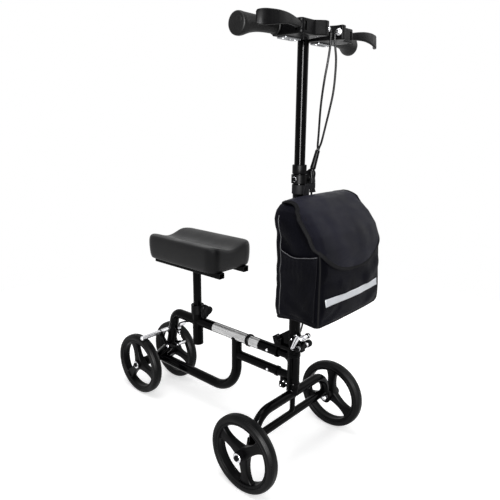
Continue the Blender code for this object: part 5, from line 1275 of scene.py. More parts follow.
def make_release(column_shell, nut_shell, lever_shell):
    """Skewer, its nut with the round knob, and the bowed cam lever."""
    place = (0, SKEWER_Y, SKEWER_Z)
    inner = 0.0128
    column_shell.lathe([(0, -inner - 0.0018), (0.0058, -inner - 0.0018), (0.0065, -inner - 0.0014),
                        (0.0065, -inner - 0.0006), (0.0060, -inner), (0.0025, -inner), (0.0025, inner + 0.022),
                        (0, inner + 0.022)], "X", place, 36)
    coil = []
    turns = 3
    for index in range(turns * 20 + 1):
        turn = 2 * pi * index / 20
        along = inner + 0.0042 + 0.0046 * index / (turns * 20)
        coil.append((along, SKEWER_Y + 0.0058 * cos(turn), SKEWER_Z + 0.0058 * sin(turn)))
    column_shell.sweep(coil, 0.0007, 10)
    nut_shell.lathe([(0.0028, inner), (0.0058, inner), (0.0062, inner + 0.0004), (0.0062, inner + 0.0030),
                     (0.0045, inner + 0.0034), (0.0045, inner + 0.0092), (0.0028, inner + 0.0092)],
                    "X", place, 36, 1, True)
    nut_shell.lathe([(0.0028, inner + 0.0092), (0.0084, inner + 0.0094), (0.0094, inner + 0.0104),
                     (0.0098, inner + 0.0120), (0.0098, inner + 0.0200), (0.0090, inner + 0.0226),
                     (0.0070, inner + 0.0240), (0.0, inner + 0.0245), (0.0, inner + 0.0223),
                     (0.0028, inner + 0.0223)], "X", place, 40, 0, True)
    centre = Vector((-0.0211, SKEWER_Y, SKEWER_Z))
    along = Vector((0, -0.420, 0.908))
    cam_axis = Vector((0, 0.908, 0.420))
    foot = centre + Vector((0, 0.0125, -0.0010))
    lever_shell.rod(centre - Vector((0, 0.0055, 0.0005)), foot + Vector((0, 0.0015, 0)), 0.0044, 36, 1)
    stations = refine(((-0.06, 0.0, 0.0050, 0.0030), (0.3, 0.0020, 0.0052, 0.0021), (0.6, 0.0030, 0.0054, 0.0018),
                       (0.85, 0.0020, 0.0056, 0.0018), (0.97, 0.0008, 0.0050, 0.0017),
                       (1.0, 0.0006, 0.0036, 0.0012)), 6)

    def across_blade(reach, out, *size):
        """Ring across the blade at a share of its length, moved outward."""
        spot = foot + along * (RELEASE_LENGTH * reach) + Vector((-out, 0, 0))
        return [spot + cam_axis * across + Vector((deep, 0, 0)) for across, deep in box_outline(*size)]

    lever_shell.loft([across_blade(reach, bow + 0.0008, width, depth, min(width, depth) * 0.8)
                      for reach, bow, width, depth in stations])
    lever_shell.loft([across_blade(reach, bow + 0.0008 + depth, width * 0.17, 0.0003, 0.0002)
                      for reach, bow, width, depth in stations[3:-7]], 1)


def make_latch(shell):
    """Bright stud across the front of the yoke with its nuts, and the cup at its left end."""
    place = (0, STEER_Y - 0.0272, 0.3488)
    shell.lathe([(0, -0.0142), (0.0024, -0.0142), (0.0034, -0.0134), (0.0036, -0.0112), (0.0064, -0.0110),
                 (0.0068, -0.0100), (0.0068, -0.0066), (0.0062, -0.0058), (0.0042, -0.0056), (0.0042, -0.0040),
                 (0.0076, -0.0038), (0.0078, -0.0026), (0.0078, 0.0008), (0.0072, 0.0016), (0.0044, 0.0018),
                 (0.0044, 0.0052), (0.0064, 0.0054), (0.0066, 0.0098), (0.0040, 0.0104), (0.0036, 0.0200),
                 (0, 0.0200)], "X", place, 6, 1)
    shell.lathe([(0.0030, 0.0178), (0.0066, 0.0180), (0.0071, 0.0188), (0.0071, 0.0236), (0.0066, 0.0244),
                 (0.0052, 0.0244), (0.0048, 0.0216), (0, 0.0212)], "X", place, 36)
    shell.lathe([(0.0068, 0.0182), (0.0073, 0.0182), (0.0073, 0.0190), (0.0068, 0.0190)], "X", place, 36, 1, True)
    shell.prism([(STEER_Y - 0.012, 0.3440), (STEER_Y - 0.030, 0.3460), (STEER_Y - 0.030, 0.3516),
                 (STEER_Y - 0.012, 0.3540)], -0.0024, 0.0024, "X", 0.0006)


class WALKER_OT_hinge(bpy.types.Operator):
    """Folding hinge, outer column and the quick release"""

    bl_idname = "walker.hinge"
    bl_label = "Hinge and column"

    def execute(self, context):
        base = Shell()
        make_hinge_base(base)
        mount(base.build("hinge_forging", "paint"), "steerer", "frame_paint", "hinge_base")
        rivet = Shell()
        heads = there_and_back([(0, -0.0213), (0.0030, -0.0213), (0.0046, -0.0209), (0.0057, -0.0200),
                                (0.0060, -0.0188), (0.0030, -0.0188)])
        rivet.lathe(heads, "X", (0, PIVOT_Y, PIVOT_Z), 32)
        mount(rivet.build("hinge_rivet", "paint"), "steerer", "zinc", "hinge_pin")
        column = Shell()
        make_column_yoke(column)
        for x, y, z, size in ((-0.0150, -0.2600, 0.3434, 0.0024), (-0.0095, -0.2700, 0.3565, 0.0013)):
            column.rod((x, y, z), (x - 0.0035, y, z), size, 20, 1, 0.0007)
        make_latch(column)
        mount(column.build("column_tube", "paint", "zinc"), "column", "frame_paint", "outer_column")
        skewer = Shell()
        nut = Shell()
        lever = Shell()
        make_release(skewer, nut, lever)
        mount(skewer.build("release_skewer", "zinc"), "column", "zinc", "qr_skewer")
        mount(nut.build("release_nut", "plastic", "zinc"), "column", "black_plastic", "qr_nut")
        mount(lever.build("release_lever", "zinc", "paint"), "quick_release_lever", "zinc", "qr_lever")
        return {"FINISHED"}


# Column top and hand knobs

def make_knob(shell, axis, way, across, height, start, tip):
    """Three-lobed hand knob with its shank. Way is the side along the axis that the knob faces."""
    count = 84
    size = 0.0245
    thick = 0.017
    levels = ((0.0, 0.40, 0), (0.03, 0.42, 0), (0.33, 0.44, 0), (0.36, 0.52, 0), (0.38, 0.84, 1), (0.40, 0.91, 1),
              (0.45, 0.96, 1), (0.54, 0.99, 1), (0.68, 1.0, 1), (0.80, 0.985, 1), (0.90, 0.945, 1),
              (0.97, 0.87, 1), (1.0, 0.78, 1), (0.985, 0.44, 0), (0.94, 0.36, 0), (0.93, 0.0, 0))
    rings = []
    for reach, scale, lobed in levels:
        along = (start + thick * reach) * way
        ring = []
        for turn in full_turn(count):
            swell = 0.84 + 0.16 * cos(3 * turn) if lobed else 1.0
            first = size * scale * swell * cos(turn)
            second = size * scale * swell * sin(turn)
            if axis == "X":
                ring.append(Vector((along, across + first, height + second)))
            else:
                ring.append(Vector((first, across + along, height + second)))
        rings.append(ring)
    shell.loft(rings)
    ends = [tip * way, (start + thick * 0.4) * way]
    spots = [(end, across, height) if axis == "X" else (0, across + end, height) for end in ends]
    shell.rod(spots[0], spots[1], 0.003, 24)


class WALKER_OT_column_top(bpy.types.Operator):
    """Bush, clamp, guide screw and hand knob at the column's top"""

    bl_idname = "walker.column_top"
    bl_label = "Column top"

    def execute(self, context):
        low = COLUMN_TOP + GAP
        high = low + 0.0215
        inner = INNER_RADIUS + GAP
        bush = Shell()
        bush.lathe([(inner, low), (0.0152, low), (0.0165, low + 0.0008), (0.0172, low + 0.0024),
                    (0.0172, high - 0.0010), (0.0169, high - 0.0003), (0.0162, high), (inner, high)],
                   "Z", (0, STEER_Y, 0), 64, 0, True)
        mount(bush.build("sleeve_bush", "plastic"), "column", "black_plastic", "column_bush")
        clamp = Shell()
        base = CLAMP_Z - 0.0105
        top = CLAMP_Z + 0.0105
        clamp.lathe(collar(COLUMN_RADIUS + GAP, 0.0190, base, top, 0.0008, 0.0008), "Z", (0, STEER_Y, 0), 64, 0, True)
        clamp.lathe([(0.0033, 0.0160), (0.0080, 0.0160), (0.0080, 0.0277), (0.0072, 0.0285), (0.0033, 0.0285)],
                    "X", (0, STEER_Y, CLAMP_Z), 36, 0, True)
        mount(clamp.build("height_clamp", "plastic"), "column", "black_plastic", "column_clamp")
        screw = Shell()
        screw.lathe([(0, -0.0136), (0.0025, -0.0136), (0.0025, -0.0193), (0.0060, -0.0193), (0.0062, -0.0199),
                     (0.0058, -0.0205), (0, -0.0205)], "X", (0, STEER_Y, CLAMP_Z), 32, 1)
        screw.lathe([(0, -0.0205), (0.0050, -0.0205), (0.0050, -0.0230), (0.0044, -0.0246), (0.0030, -0.0253),
                     (0, -0.0253)], "X", (0, STEER_Y, CLAMP_Z), 32)
        mount(screw.build("guide_screw", "plastic", "zinc"), "column", "black_plastic", "clamp_bolt")
        knob = Shell()
        make_knob(knob, "X", 1, STEER_Y, CLAMP_Z, 0.0288, 0.0144)
        mount(knob.build("height_knob", "plastic", sharp=50), "column_hand_knob", "black_plastic", "column_knob")
        return {"FINISHED"}


# Handlebar

def make_grip(shell, side):
    """Grip: flanged neck, fine rings, and a palm rest that swells at the outer end."""
    stations = refine(((0.0, 0.0160, 0.0160, 0.0, 0.0), (0.012, 0.0168, 0.0168, 0.0, 0.0),
                       (0.030, 0.0168, 0.0168, 0.0, 0.0), (0.042, 0.0151, 0.0151, 0.0, 0.0),
                       (0.06, 0.0150, 0.0150, 0.0, 0.0),
                       (0.28, 0.0150, 0.0150, 0.0003, -0.0005), (0.5, 0.0162, 0.0160, 0.0014, -0.0012),
                       (0.7, 0.0188, 0.0185, 0.0038, -0.0030), (0.86, 0.0226, 0.0223, 0.0074, -0.0058),
                       (0.93, 0.0236, 0.0233, 0.0080, -0.0062), (0.975, 0.0230, 0.0227, 0.0080, -0.0062),
                       (0.993, 0.0212, 0.0210, 0.0077, -0.0059), (1.0, 0.0190, 0.0188, 0.0074, -0.0056)), 6)
    rings = []
    for reach, deep, tall, back, lift in stations:
        x = (GRIP_START + GRIP_LENGTH * reach) * side
        rings.append([Vector((x, STEER_Y + back + deep * cos(turn), BAR_Z + lift + tall * sin(turn)))
                      for turn in full_turn(56)])
    shell.loft(rings)
    shell.lathe([(0.0072, 0.2123 * side), (0.0066, 0.2129 * side), (0.0034, 0.2129 * side),
                 (0.0030, 0.2121 * side), (0, 0.2121 * side)], "X", (0, STEER_Y, BAR_Z), 32)


class WALKER_OT_handlebar(bpy.types.Operator):
    """Inner column with its tee, handlebar tube and grips"""

    bl_idname = "walker.handlebar"
    bl_label = "Handlebar"

    def execute(self, context):
        column = Shell()
        column.sweep([(0, STEER_Y, 0.600), (0, STEER_Y, BAR_Z)], INNER_RADIUS, 56)
        column.rod((-0.0148, STEER_Y, BAR_Z), (0.0148, STEER_Y, BAR_Z), TEE_RADIUS, 56)
        column.bead(seam_line((0, STEER_Y, BAR_Z), (0, 0, -1), (1, 0, 0), INNER_RADIUS, TEE_RADIUS), 0.0014)
        mount(column.build("sliding_column", "paint"), "handlebar_assembly", "frame_paint", "inner_column")
        bar = Shell()
        bar.rod((-BAR_HALF, STEER_Y, BAR_Z), (BAR_HALF, STEER_Y, BAR_Z), BAR_RADIUS, 48)
        mount(bar.build("handlebar_tube", "paint"), "handlebar_assembly", "frame_paint", "handlebar")
        for label, side in SIDES.items():
            grip = Shell()
            make_grip(grip, side)
            mount(grip.build(f"palm_grip_{label}", "rubber", sharp=60), "handlebar_assembly", "black_rubber",
                  f"grip_{label}")
        return {"FINISHED"}


# Brake controls

def make_housing(side):
    """Moulded housing round the bar, with the fork for the lever at its outer nose."""
    inner = 0.0158
    outer = 0.0997
    nose = LEVER_PIVOT_Y - 0.008
    face = ADJUSTER_Y - 0.008
    corners = [(inner, STEER_Y + 0.010), (outer, STEER_Y + 0.010), (outer, nose), (LEVER_PIVOT_X - 0.035, nose),
               (0.038, face), (0.026, face), (0.026, face + 0.018), (inner, STEER_Y - 0.032)]
    outline = rounded_outline(mirrored(corners, side), [0.003, 0.003, 0.008, 0.010, 0.004, 0.003, 0.004, 0.006], 6)
    block = Shell()
    block.prism(outline, BAR_Z - 0.018, BAR_Z + 0.012, "Z", 0.0026, 0, 5)
    body = block.build("housing_block", "plastic")
    middle = CONTROL_Z
    room = Shell()
    edge = LEVER_PIVOT_X - 0.0088
    room.prism(mirrored([(edge, LEVER_PIVOT_Y - 0.03), (0.12, LEVER_PIVOT_Y - 0.03), (0.12, LEVER_PIVOT_Y + 0.0088),
                         (edge, LEVER_PIVOT_Y + 0.0088)], side), middle - 0.009, middle + 0.009)
    panel = Shell()
    corners = [(0.030, STEER_Y - 0.026), (0.078, STEER_Y - 0.026), (0.074, LEVER_PIVOT_Y + 0.006),
               (0.044, LEVER_PIVOT_Y + 0.002)]
    panel.prism(rounded_outline(mirrored(corners, side), 0.005), BAR_Z + 0.0108, BAR_Z + 0.0130)
    carve(body, room.build("room", "plastic"), panel.build("panel", "plastic"))
    shell = Shell()
    shell.absorb(body)
    shell.rod((0.0164 * side, STEER_Y, BAR_Z), (0.0991 * side, STEER_Y, BAR_Z), 0.0168, 56)
    for x in (0.034, 0.064):
        shell.rod((x * side, STEER_Y + 0.0105, BAR_Z + 0.0135), (x * side, STEER_Y + 0.0105, BAR_Z + 0.0150),
                  0.0026, 20)
    return shell


def make_lever(shell, side):
    """Lever blade: bowed forward, arched, taller at its outer end, with faint finger ribs and a short turned end."""
    middle = CONTROL_Z
    stations = refine(((0.086, 0.0, 0.0, 0.0045, 0.0078, 0.0), (0.102, -0.0025, 0.0010, 0.0045, 0.0082, 0.0),
                       (0.124, -0.0070, 0.0034, 0.0039, 0.0093, 0.2), (0.148, -0.0104, 0.0047, 0.0035, 0.0107, 0.5),
                       (0.174, -0.0110, 0.0034, 0.0034, 0.0128, 0.9), (0.200, -0.0070, 0.0008, 0.0034, 0.0146, 1.0),
                       (0.213, -0.0014, -0.0004, 0.0034, 0.0148, 1.0), (0.2205, 0.0060, -0.0010, 0.0030, 0.0134, 1.0),
                       (0.2224, 0.0082, -0.0012, 0.0018, 0.0100, 0.8)), 7)
    spots = [Vector((row[0] * side, LEVER_PIVOT_Y + row[1], middle + row[2])) for row in stations]
    rings = []
    for index, (x, _, _, thick, tall, lip) in enumerate(stations):
        heading = spots[min(index + 1, len(spots) - 1)] - spots[max(index - 1, 0)]
        heading.z = 0
        heading.normalize()
        facing = Vector((-heading.y, heading.x, 0)) * side
        ripple = sum(max(0.0, 1 - ((x - rib) / 0.0035) ** 2) for rib in (0.180, 0.190, 0.200))
        ring = []
        for deep, height in box_outline(thick, tall, min(thick, tall) * 0.85, 7):
            level = height / tall
            curl = 0.0022 * level ** 2 - 0.0030 * lip * max(0.0, -level - 0.55) / 0.45
            bump = 0.0007 * ripple * max(0.0, 1 - level ** 4) if deep < 0 else 0.0
            ring.append(spots[index] + facing * (deep + curl - bump) + Vector((0, 0, height)))
        rings.append(ring)
    shell.loft(rings)
    pin = [(0, -0.0150), (0.0030, -0.0150), (0.0030, -0.0087), (0.0079, -0.0087), (0.0085, -0.0081),
           (0.0085, 0.0081), (0.0079, 0.0087), (0.0030, 0.0087), (0.0030, 0.0146), (0.0026, 0.0150), (0, 0.0150)]
    shell.lathe(pin, "Z", (LEVER_PIVOT_X * side, LEVER_PIVOT_Y, middle), 36)


def make_adjuster(shell, side):
    """Barrel adjuster: knurled wheel, lock ring and thread."""
    place = Vector((0, ADJUSTER_Y, ADJUSTER_Z))
    rings = []
    for along, radius, teeth in ((0.0205, 0.0062, 0), (0.0209, 0.0070, 1), (0.0216, 0.0075, 1), (0.0243, 0.0075, 1),
                                 (0.0250, 0.0070, 1), (0.0256, 0.0060, 0)):
        ring = []
        for index, turn in enumerate(full_turn(72)):
            size = radius - (0.0005 if teeth and index % 4 > 1 else 0.0)
            ring.append(place + Vector((along * side, size * cos(turn), size * sin(turn))))
        rings.append(ring)
    shell.loft(rings)
    shell.lathe([(0, 0.0175 * side), (0.0032, 0.0175 * side), (0.0038, 0.0180 * side), (0.0038, 0.0207 * side),
                 (0, 0.0207 * side)], "X", place, 32)
    thread = [(0.0026 + 0.0004 * (step % 2), (0.0256 + 0.0089 * step / 22) * side) for step in range(23)]
    shell.lathe([(0, 0.0256 * side)] + thread + [(0, 0.0345 * side)], "X", place, 32)


class WALKER_OT_brake_controls(bpy.types.Operator):
    """Brake housings, levers, barrel adjusters and clamp plates"""

    bl_idname = "walker.brake_controls"
    bl_label = "Brake controls"

    def execute(self, context):
        for label, side in SIDES.items():
            shell = make_housing(side)
            mount(shell.build(f"control_body_{label}", "plastic"), "handlebar_assembly", "black_plastic",
                  f"brake_housing_{label}")
            lever = Shell()
            make_lever(lever, side)
            mount(lever.build(f"hand_lever_{label}", "plastic", sharp=50), f"lever_{label}", "black_plastic",
                  f"brake_lever_{label}")
            adjuster = Shell()
            make_adjuster(adjuster, side)
            mount(adjuster.build(f"adjuster_{label}", "zinc"), "handlebar_assembly", "zinc",
                  f"barrel_adjuster_{label}")
            top = BAR_Z - 0.018 - GAP
            plate = Shell()
            outline = rounded_box((0.034 * side, STEER_Y - 0.020), (0.088 * side, STEER_Y + 0.007), 0.004)
            plate.prism(outline, top - 0.003, top, "Z", 0.0007)
            reach = 0.020 if side > 0 else 0.008
            window = Shell()
            middle = 0.061 * side
            outline = rounded_box((middle - reach, STEER_Y - 0.011), (middle + reach, STEER_Y - 0.003), 0.0035)
            window.prism(outline, top - 0.01, top + 0.01)
            made = carve(plate.build("plate", "clamp"), window.build("window", "clamp"))
            shell = Shell()
            shell.absorb(made)
            for x in (0.040, 0.082):
                shell.rod((x * side, STEER_Y - 0.007, top - 0.0025), (x * side, STEER_Y - 0.007, top - 0.0045),
                          0.0030, 24, 1, 0.0005)
            mount(shell.build(f"clamp_plate_{label}", "clamp", "zinc"), "handlebar_assembly", "clamp_grey",
                  f"housing_clamp_{label}")
        return {"FINISHED"}


# Cables

def cable_places():
    """Ends of the junction and the way it points."""
    top = Vector((0.0270, -0.2890, CLAMP_Z + 0.0675))
    foot = Vector((0.0220, -0.2795, CLAMP_Z + 0.0230))
    return top, foot, (foot - top).normalized()


def lay_cable(name, path, lay, bodies, ends, *nodes):
    """Free cable along a path that goes back into the walker. With no ends it rides on its one body;
    with ends it stays where it is made and rides on none."""
    shell = Shell()
    shell.sweep(path, CABLE_RADIUS, 16)
    piece = shell.build(name, "cable", sharp=60)
    if nodes:
        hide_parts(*nodes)
    if ends:
        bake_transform(piece)
    else:
        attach(piece, *bodies)


class WALKER_OT_cables(bpy.types.Operator):
    """Two lever cables, their junction, and the single cable to the rear brake"""

    bl_idname = "walker.cables"
    bl_label = "Cables"

    def execute(self, context):
        top, foot, run = cable_places()
        junction = Shell()
        stations = ((0.0, 0.0050), (0.0008, 0.0056), (0.006, 0.0058), (0.0075, 0.0054), (0.009, 0.0058),
                    (0.036, 0.0066), (0.041, 0.0070), (0.044, 0.0068), ((foot - top).length, 0.0060))
        junction.sweep([top + run * along for along, _ in stations], [size for _, size in stations], 32)
        mount(junction.build("two_way_junction", "plastic", sharp=40), "column", "black_plastic", "cable_junction")
        end = 0.0172
        right = [(-end, ADJUSTER_Y, ADJUSTER_Z), (-end + 0.002, ADJUSTER_Y, ADJUSTER_Z),
                 (-0.0105, -0.3346, ADJUSTER_Z - 0.0012), (-0.0060, -0.3340, ADJUSTER_Z - 0.0080),
                 (-0.0080, -0.3340, 1.0400), (-0.0112, -0.3318, 1.0100), (-0.0112, -0.3262, 0.9800),
                 (-0.0055, -0.3170, 0.9430), (0.0030, -0.3080, 0.9080), (0.0150, -0.2980, 0.8630),
                 (0.0225, -0.2912, 0.8320)]
        left = [(end, ADJUSTER_Y, ADJUSTER_Z), (end - 0.002, ADJUSTER_Y, ADJUSTER_Z),
                (0.0110, -0.3354, ADJUSTER_Z - 0.0012), (0.0068, -0.3356, ADJUSTER_Z - 0.0085),
                (0.0090, -0.3364, 1.0450), (0.0150, -0.3360, 1.0200), (0.0205, -0.3320, 0.9850),
                (0.0240, -0.3265, 0.9500), (0.0265, -0.3175, 0.9150), (0.0285, -0.3075, 0.8800),
                (0.0305, -0.2965, 0.8420)]
        side_step = (Vector((1, 0, 0)) - run * run.x).normalized() * 0.0029
        for label, route, shift in (("right", right, -side_step), ("left", left, side_step)):
            stop = top - run * GAP + shift
            lay_cable(f"lever_cable_{label}", refine(route + [tuple(stop - run * 0.006), tuple(stop)], 6), "hanging",
                      ("handlebar_assembly", "column"), ((0, STEER_Y, 1.060), (0, STEER_Y, 0.8218)),
                      f"cable_upper_{label}")
        start = foot + run * GAP
        lower = [tuple(start), tuple(start + run * 0.008), (0.0222, -0.2782, CLAMP_Z - 0.014),
                 (0.0240, -0.2774, CLAMP_Z - 0.040), (0.0275, -0.2772, 0.6700), (0.0280, -0.2772, 0.6000),
                 (0.0280, -0.2772, 0.5200), (0.0285, -0.2765, 0.4600), (0.0295, -0.2720, 0.4250),
                 (0.0303, -0.2660, 0.4060), (0.0306, -0.2645, 0.4000)]
        lay_cable("column_cable", refine(lower, 6), "taut", ("column",), None, "cable_lower")
        beside = TUBE_RADIUS + CABLE_RADIUS + GAP * 2
        route = [(0.0306, -0.2645, 0.3997), (0.0312, -0.2600, 0.3750), (0.0310, -0.2520, 0.3450),
                 (0.0285, -0.2380, 0.3220), (0.0245, -0.2180, 0.3020), (0.0205, -0.1950, 0.2900),
                 (beside + 0.0006, -0.1650, 0.2835), (beside, -0.1200, 0.2830), (beside, -0.0500, 0.2830),
                 (beside, 0.0300, 0.2830), (beside + 0.0008, 0.0850, 0.2830),
                 (SLEEVE_RADIUS + CABLE_RADIUS + 0.0008, SEAT_Y, 0.2805), (0.0170, 0.1450, 0.2730),
                 (0.0115, 0.1680, 0.2650), (0.0060, 0.1880, 0.2600), (0.0012, 0.2020, 0.2530),
                 (0.0, STOP_Y, STOP_Z + 0.0140), (0.0, STOP_Y, STOP_Z + 0.0095)]
        path = refine(route, 6)
        split = 13
        lay_cable("hinge_cable_loop", path[:split], "loose", ("column", "steerer"), (route[0], route[2]))
        wire = [(0, STOP_Y, STOP_Z + 0.0100), (0, STOP_Y, STOP_Z - 0.0090), (0, STOP_Y - 0.002, STOP_Z - 0.0150),
                (0, ANCHOR_Y + 0.001, ANCHOR_Z + 0.0100), (0, ANCHOR_Y, ANCHOR_Z + 0.0033)]
        strand = Shell()
        strand.sweep(wire, 0.0008, 10)
        inner_wire = strand.build("brake_wire", "zinc", sharp=60)
        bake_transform(inner_wire)
        lay_cable("frame_cable", path[split - 1:], "loose", ("steerer", "frame"),
                  (route[2], (0.0180, -0.1650, 0.2835)), "cable_frame")
        return {"FINISHED"}


# Rear brake

class WALKER_OT_rear_brake(bpy.types.Operator):
    """Yoke with its cross rod, pivot bolt and cable adjuster"""

    bl_idname = "walker.rear_brake"
    bl_label = "Rear brake"

    def execute(self, context):
        bearing = radians(BRAKE_ROD_ANGLE)
        rod_y = REAR_Y + BRAKE_ROD_REACH * cos(bearing)
        rod_z = AXLE_Z + BRAKE_ROD_REACH * sin(bearing)
        yoke = Shell()
        yoke.rod((-0.092, rod_y, rod_z), (0.092, rod_y, rod_z), 0.007, 36, 1, 0.001)
        yoke.rod((-0.020, ANCHOR_Y, ANCHOR_Z), (0.020, ANCHOR_Y, ANCHOR_Z), 0.003, 24, 1)
        for side in SIDES.values():
            yoke.lathe([(0, 0.092 * side), (0.0044, 0.092 * side), (0.0044, 0.0935 * side), (0.0030, 0.0945 * side),
                        (0, 0.0945 * side)], "X", (0, rod_y, rod_z), 24, 1)
        outline = arc((ANCHOR_Y, ANCHOR_Z), 0.0065, 115, 255, 14)
        outline += arc((BRAKE_PIVOT_Y, BRAKE_PIVOT_Z), 0.0095, 235, 325, 10)
        outline += arc((rod_y, rod_z), 0.0085, -45, 135, 16)
        outline += [(BRAKE_PIVOT_Y + 0.004, BRAKE_PIVOT_Z + 0.0125), (BRAKE_PIVOT_Y - 0.006, BRAKE_PIVOT_Z + 0.0105)]
        inner = TUBE_RADIUS + GAP
        for side in SIDES.values():
            yoke.prism(outline, inner * side, (inner + ROCKER_PLATE) * side, "X", 0.0006)
        mount(yoke.build("brake_rocker", "paint", "zinc"), "rear_brake", "frame_paint", "brake_yoke")
        outer = inner + ROCKER_PLATE + GAP
        bolt = Shell()
        bolt.lathe([(0, -outer - 0.0034), (0.0030, -outer - 0.0034), (0.0044, -outer - 0.0028),
                    (0.0056, -outer - 0.0014), (0.0058, -outer), (0.003, -outer), (0.003, outer), (0.0058, outer),
                    (0.0058, outer + 0.0030), (0.0050, outer + 0.0035), (0, outer + 0.0035)],
                   "X", (0, BRAKE_PIVOT_Y, BRAKE_PIVOT_Z), 32)
        mount(bolt.build("rocker_bolt", "zinc"), "frame", "zinc", "brake_pivot_bolt")
        seat = STOP_Z + 0.0023
        adjuster = Shell()
        adjuster.lathe([(0.0011, STOP_Z - 0.0080), (0.003, STOP_Z - 0.0080), (0.003, seat), (0.0055, seat),
                        (0.0058, seat + 0.0006), (0.0058, seat + 0.0040), (0.0052, seat + 0.0046),
                        (0.0038, seat + 0.0050), (0.0038, STOP_Z + 0.0088), (0.0034, STOP_Z + 0.0091),
                        (0.0011, STOP_Z + 0.0091)], "Z", (0, STOP_Y, 0), 24, 0, True)
        mount(adjuster.build("stop_adjuster", "zinc"), "frame", "zinc", "cable_adjuster_rear")
        return {"FINISHED"}


# Seat

class WALKER_OT_seat(bpy.types.Operator):
    """Seat collar, hand knob, post and bracket"""

    bl_idname = "walker.seat"
    bl_label = "Seat carrier"

    def execute(self, context):
        low = SLEEVE_TOP - 0.027
        high = SLEEVE_TOP + 0.001
        band = Shell()
        band.lathe(collar(0.0165, 0.0200, low, high, 0.0009, 0.0009), "Z", (0, SEAT_Y, 0), 64, 0, True)
        band.lathe([(0.0033, -0.0180), (0.0080, -0.0180), (0.0080, -0.0257), (0.0072, -0.0265),
                    (0.0033, -0.0265)], "Y", (0, SEAT_Y, KNOB_Z), 36, 0, True)
        mount(band.build("post_collar", "plastic"), "frame", "black_plastic", "seat_collar")
        knob = Shell()
        make_knob(knob, "Y", -1, SEAT_Y, KNOB_Z, 0.0268, 0.0141)
        mount(knob.build("post_knob", "plastic", sharp=50), "seat_hand_knob", "black_plastic", "seat_knob")
        post = Shell()
        post.rod((0, SEAT_Y, SLEEVE_TOP - 0.115), (0, SEAT_Y, BRACKET_Z - GAP), POST_RADIUS, 56)
        mount(post.build("post_tube", "paint"), "seat", "frame_paint", "seat_post")
        bracket = Shell()
        bracket.prism(rounded_box((-0.060, -0.026), (0.060, 0.206), 0.006), BRACKET_Z, BRACKET_Z + 0.004, "Z", 0.0008)
        for side in SIDES.values():
            rail = rounded_box((0.039 * side, BRACKET_Z - 0.0125), (0.0593 * side, BRACKET_Z + 0.004), 0.0016)
            inner = inset(rail, 0.0025)
            rings = []
            for y, shape in ((-0.032, inner), (-0.0406, inner), (-0.0410, rail), (0.238, rail), (0.2376, inner),
                             (0.229, inner)):
                rings.append([Vector((x, y, z)) for x, z in shape])
            bracket.loft(rings)
        bracket.lathe([(0.0130, BRACKET_Z - 0.026), (0.0157, BRACKET_Z - 0.026), (0.0162, BRACKET_Z - 0.0254),
                       (0.0162, BRACKET_Z - 0.006), (0.0180, BRACKET_Z - 0.002), (0.0220, BRACKET_Z + 0.001),
                       (0.0130, BRACKET_Z + 0.001)], "Z", (0, SEAT_Y, 0), 56, 0, True)
        mount(bracket.build("pad_bracket", "paint"), "seat", "frame_paint", "seat_bracket")
        return {"FINISHED"}


# Wall of the pad from its foot to its top: how far it draws in, share of the height
PAD_WALL = ((0.0110, 0.0), (0.0062, 0.012), (0.0038, 0.06), (0.0016, 0.20), (0.0, 0.48), (0.0, 0.74), (0.0012, 0.87),
            (0.0036, 0.95), (0.0074, 0.988), (0.0125, 1.0))
PAD_FRONT, PAD_REAR, PAD_HALF, PAD_HEIGHT = -0.041, 0.253, 0.085, 0.071


def dense_box(half_width, half_length, corner, steps=20):
    """Rounded box with points along its straight sides too."""
    x, y = half_width - corner, half_length - corner
    spots = ((x, y, 0), (-x, y, 90), (-x, -y, 180), (x, -y, 270))
    arcs = [arc((x, y), corner, start, start + 90, 10) for x, y, start in spots]
    outline = []
    for bend, after in zip(arcs, arcs[1:] + arcs[:1]):
        outline += bend
        (ax, ay), (bx, by) = bend[-1], after[0]
        outline += [(ax + (bx - ax) * step / steps, ay + (by - ay) * step / steps) for step in range(1, steps)]
    return outline


def pad_ring(inward, rise, wish, shrink=1.0):
    """Ring of the pad at a share of its height, over the trough along its middle."""
    middle = (PAD_FRONT + PAD_REAR) / 2
    half_length = (PAD_REAR - PAD_FRONT) / 2
    ring = []
    for x, y in dense_box(PAD_HALF - inward, half_length - inward, wish.rounding - 0.5 * inward):
        crown = 0.0022 * (1 - (x / PAD_HALF) ** 2) * (1 if y > 0 else -1) * (abs(y) / half_length) ** 8
        x, y = x * shrink, (y - crown) * shrink
        trough = wish.trough * (0.5 + 0.5 * cos(pi * min(abs(x) / (PAD_HALF * 0.80), 1.0)))
        ring.append(Vector((x, middle + y, PAD_LOW + rise * (PAD_HEIGHT - trough))))
    return ring


class WALKER_OT_pad(bpy.types.Operator):
    """Knee pad: long trough between raised sides, drawn in at its foot and rounded at its ends"""

    bl_idname = "walker.pad"
    bl_label = "Knee pad"

    def execute(self, context):
        wish = context.scene.walker_pad
        rings = [pad_ring(inward, rise, wish) for inward, rise in refine(PAD_WALL, 4)]
        rings += [pad_ring(PAD_WALL[-1][0], 1.0, wish, shrink / 10) for shrink in (9, 8, 7, 6, 5, 4, 3, 2, 1, 0.2)]
        pad = Shell()
        pad.loft(rings)
        piece = pad.build("knee_pad", "pad", sharp=70)
        mount(piece, "seat", "pad_cover", "seat_pad")
        return {"FINISHED"}


# Bag

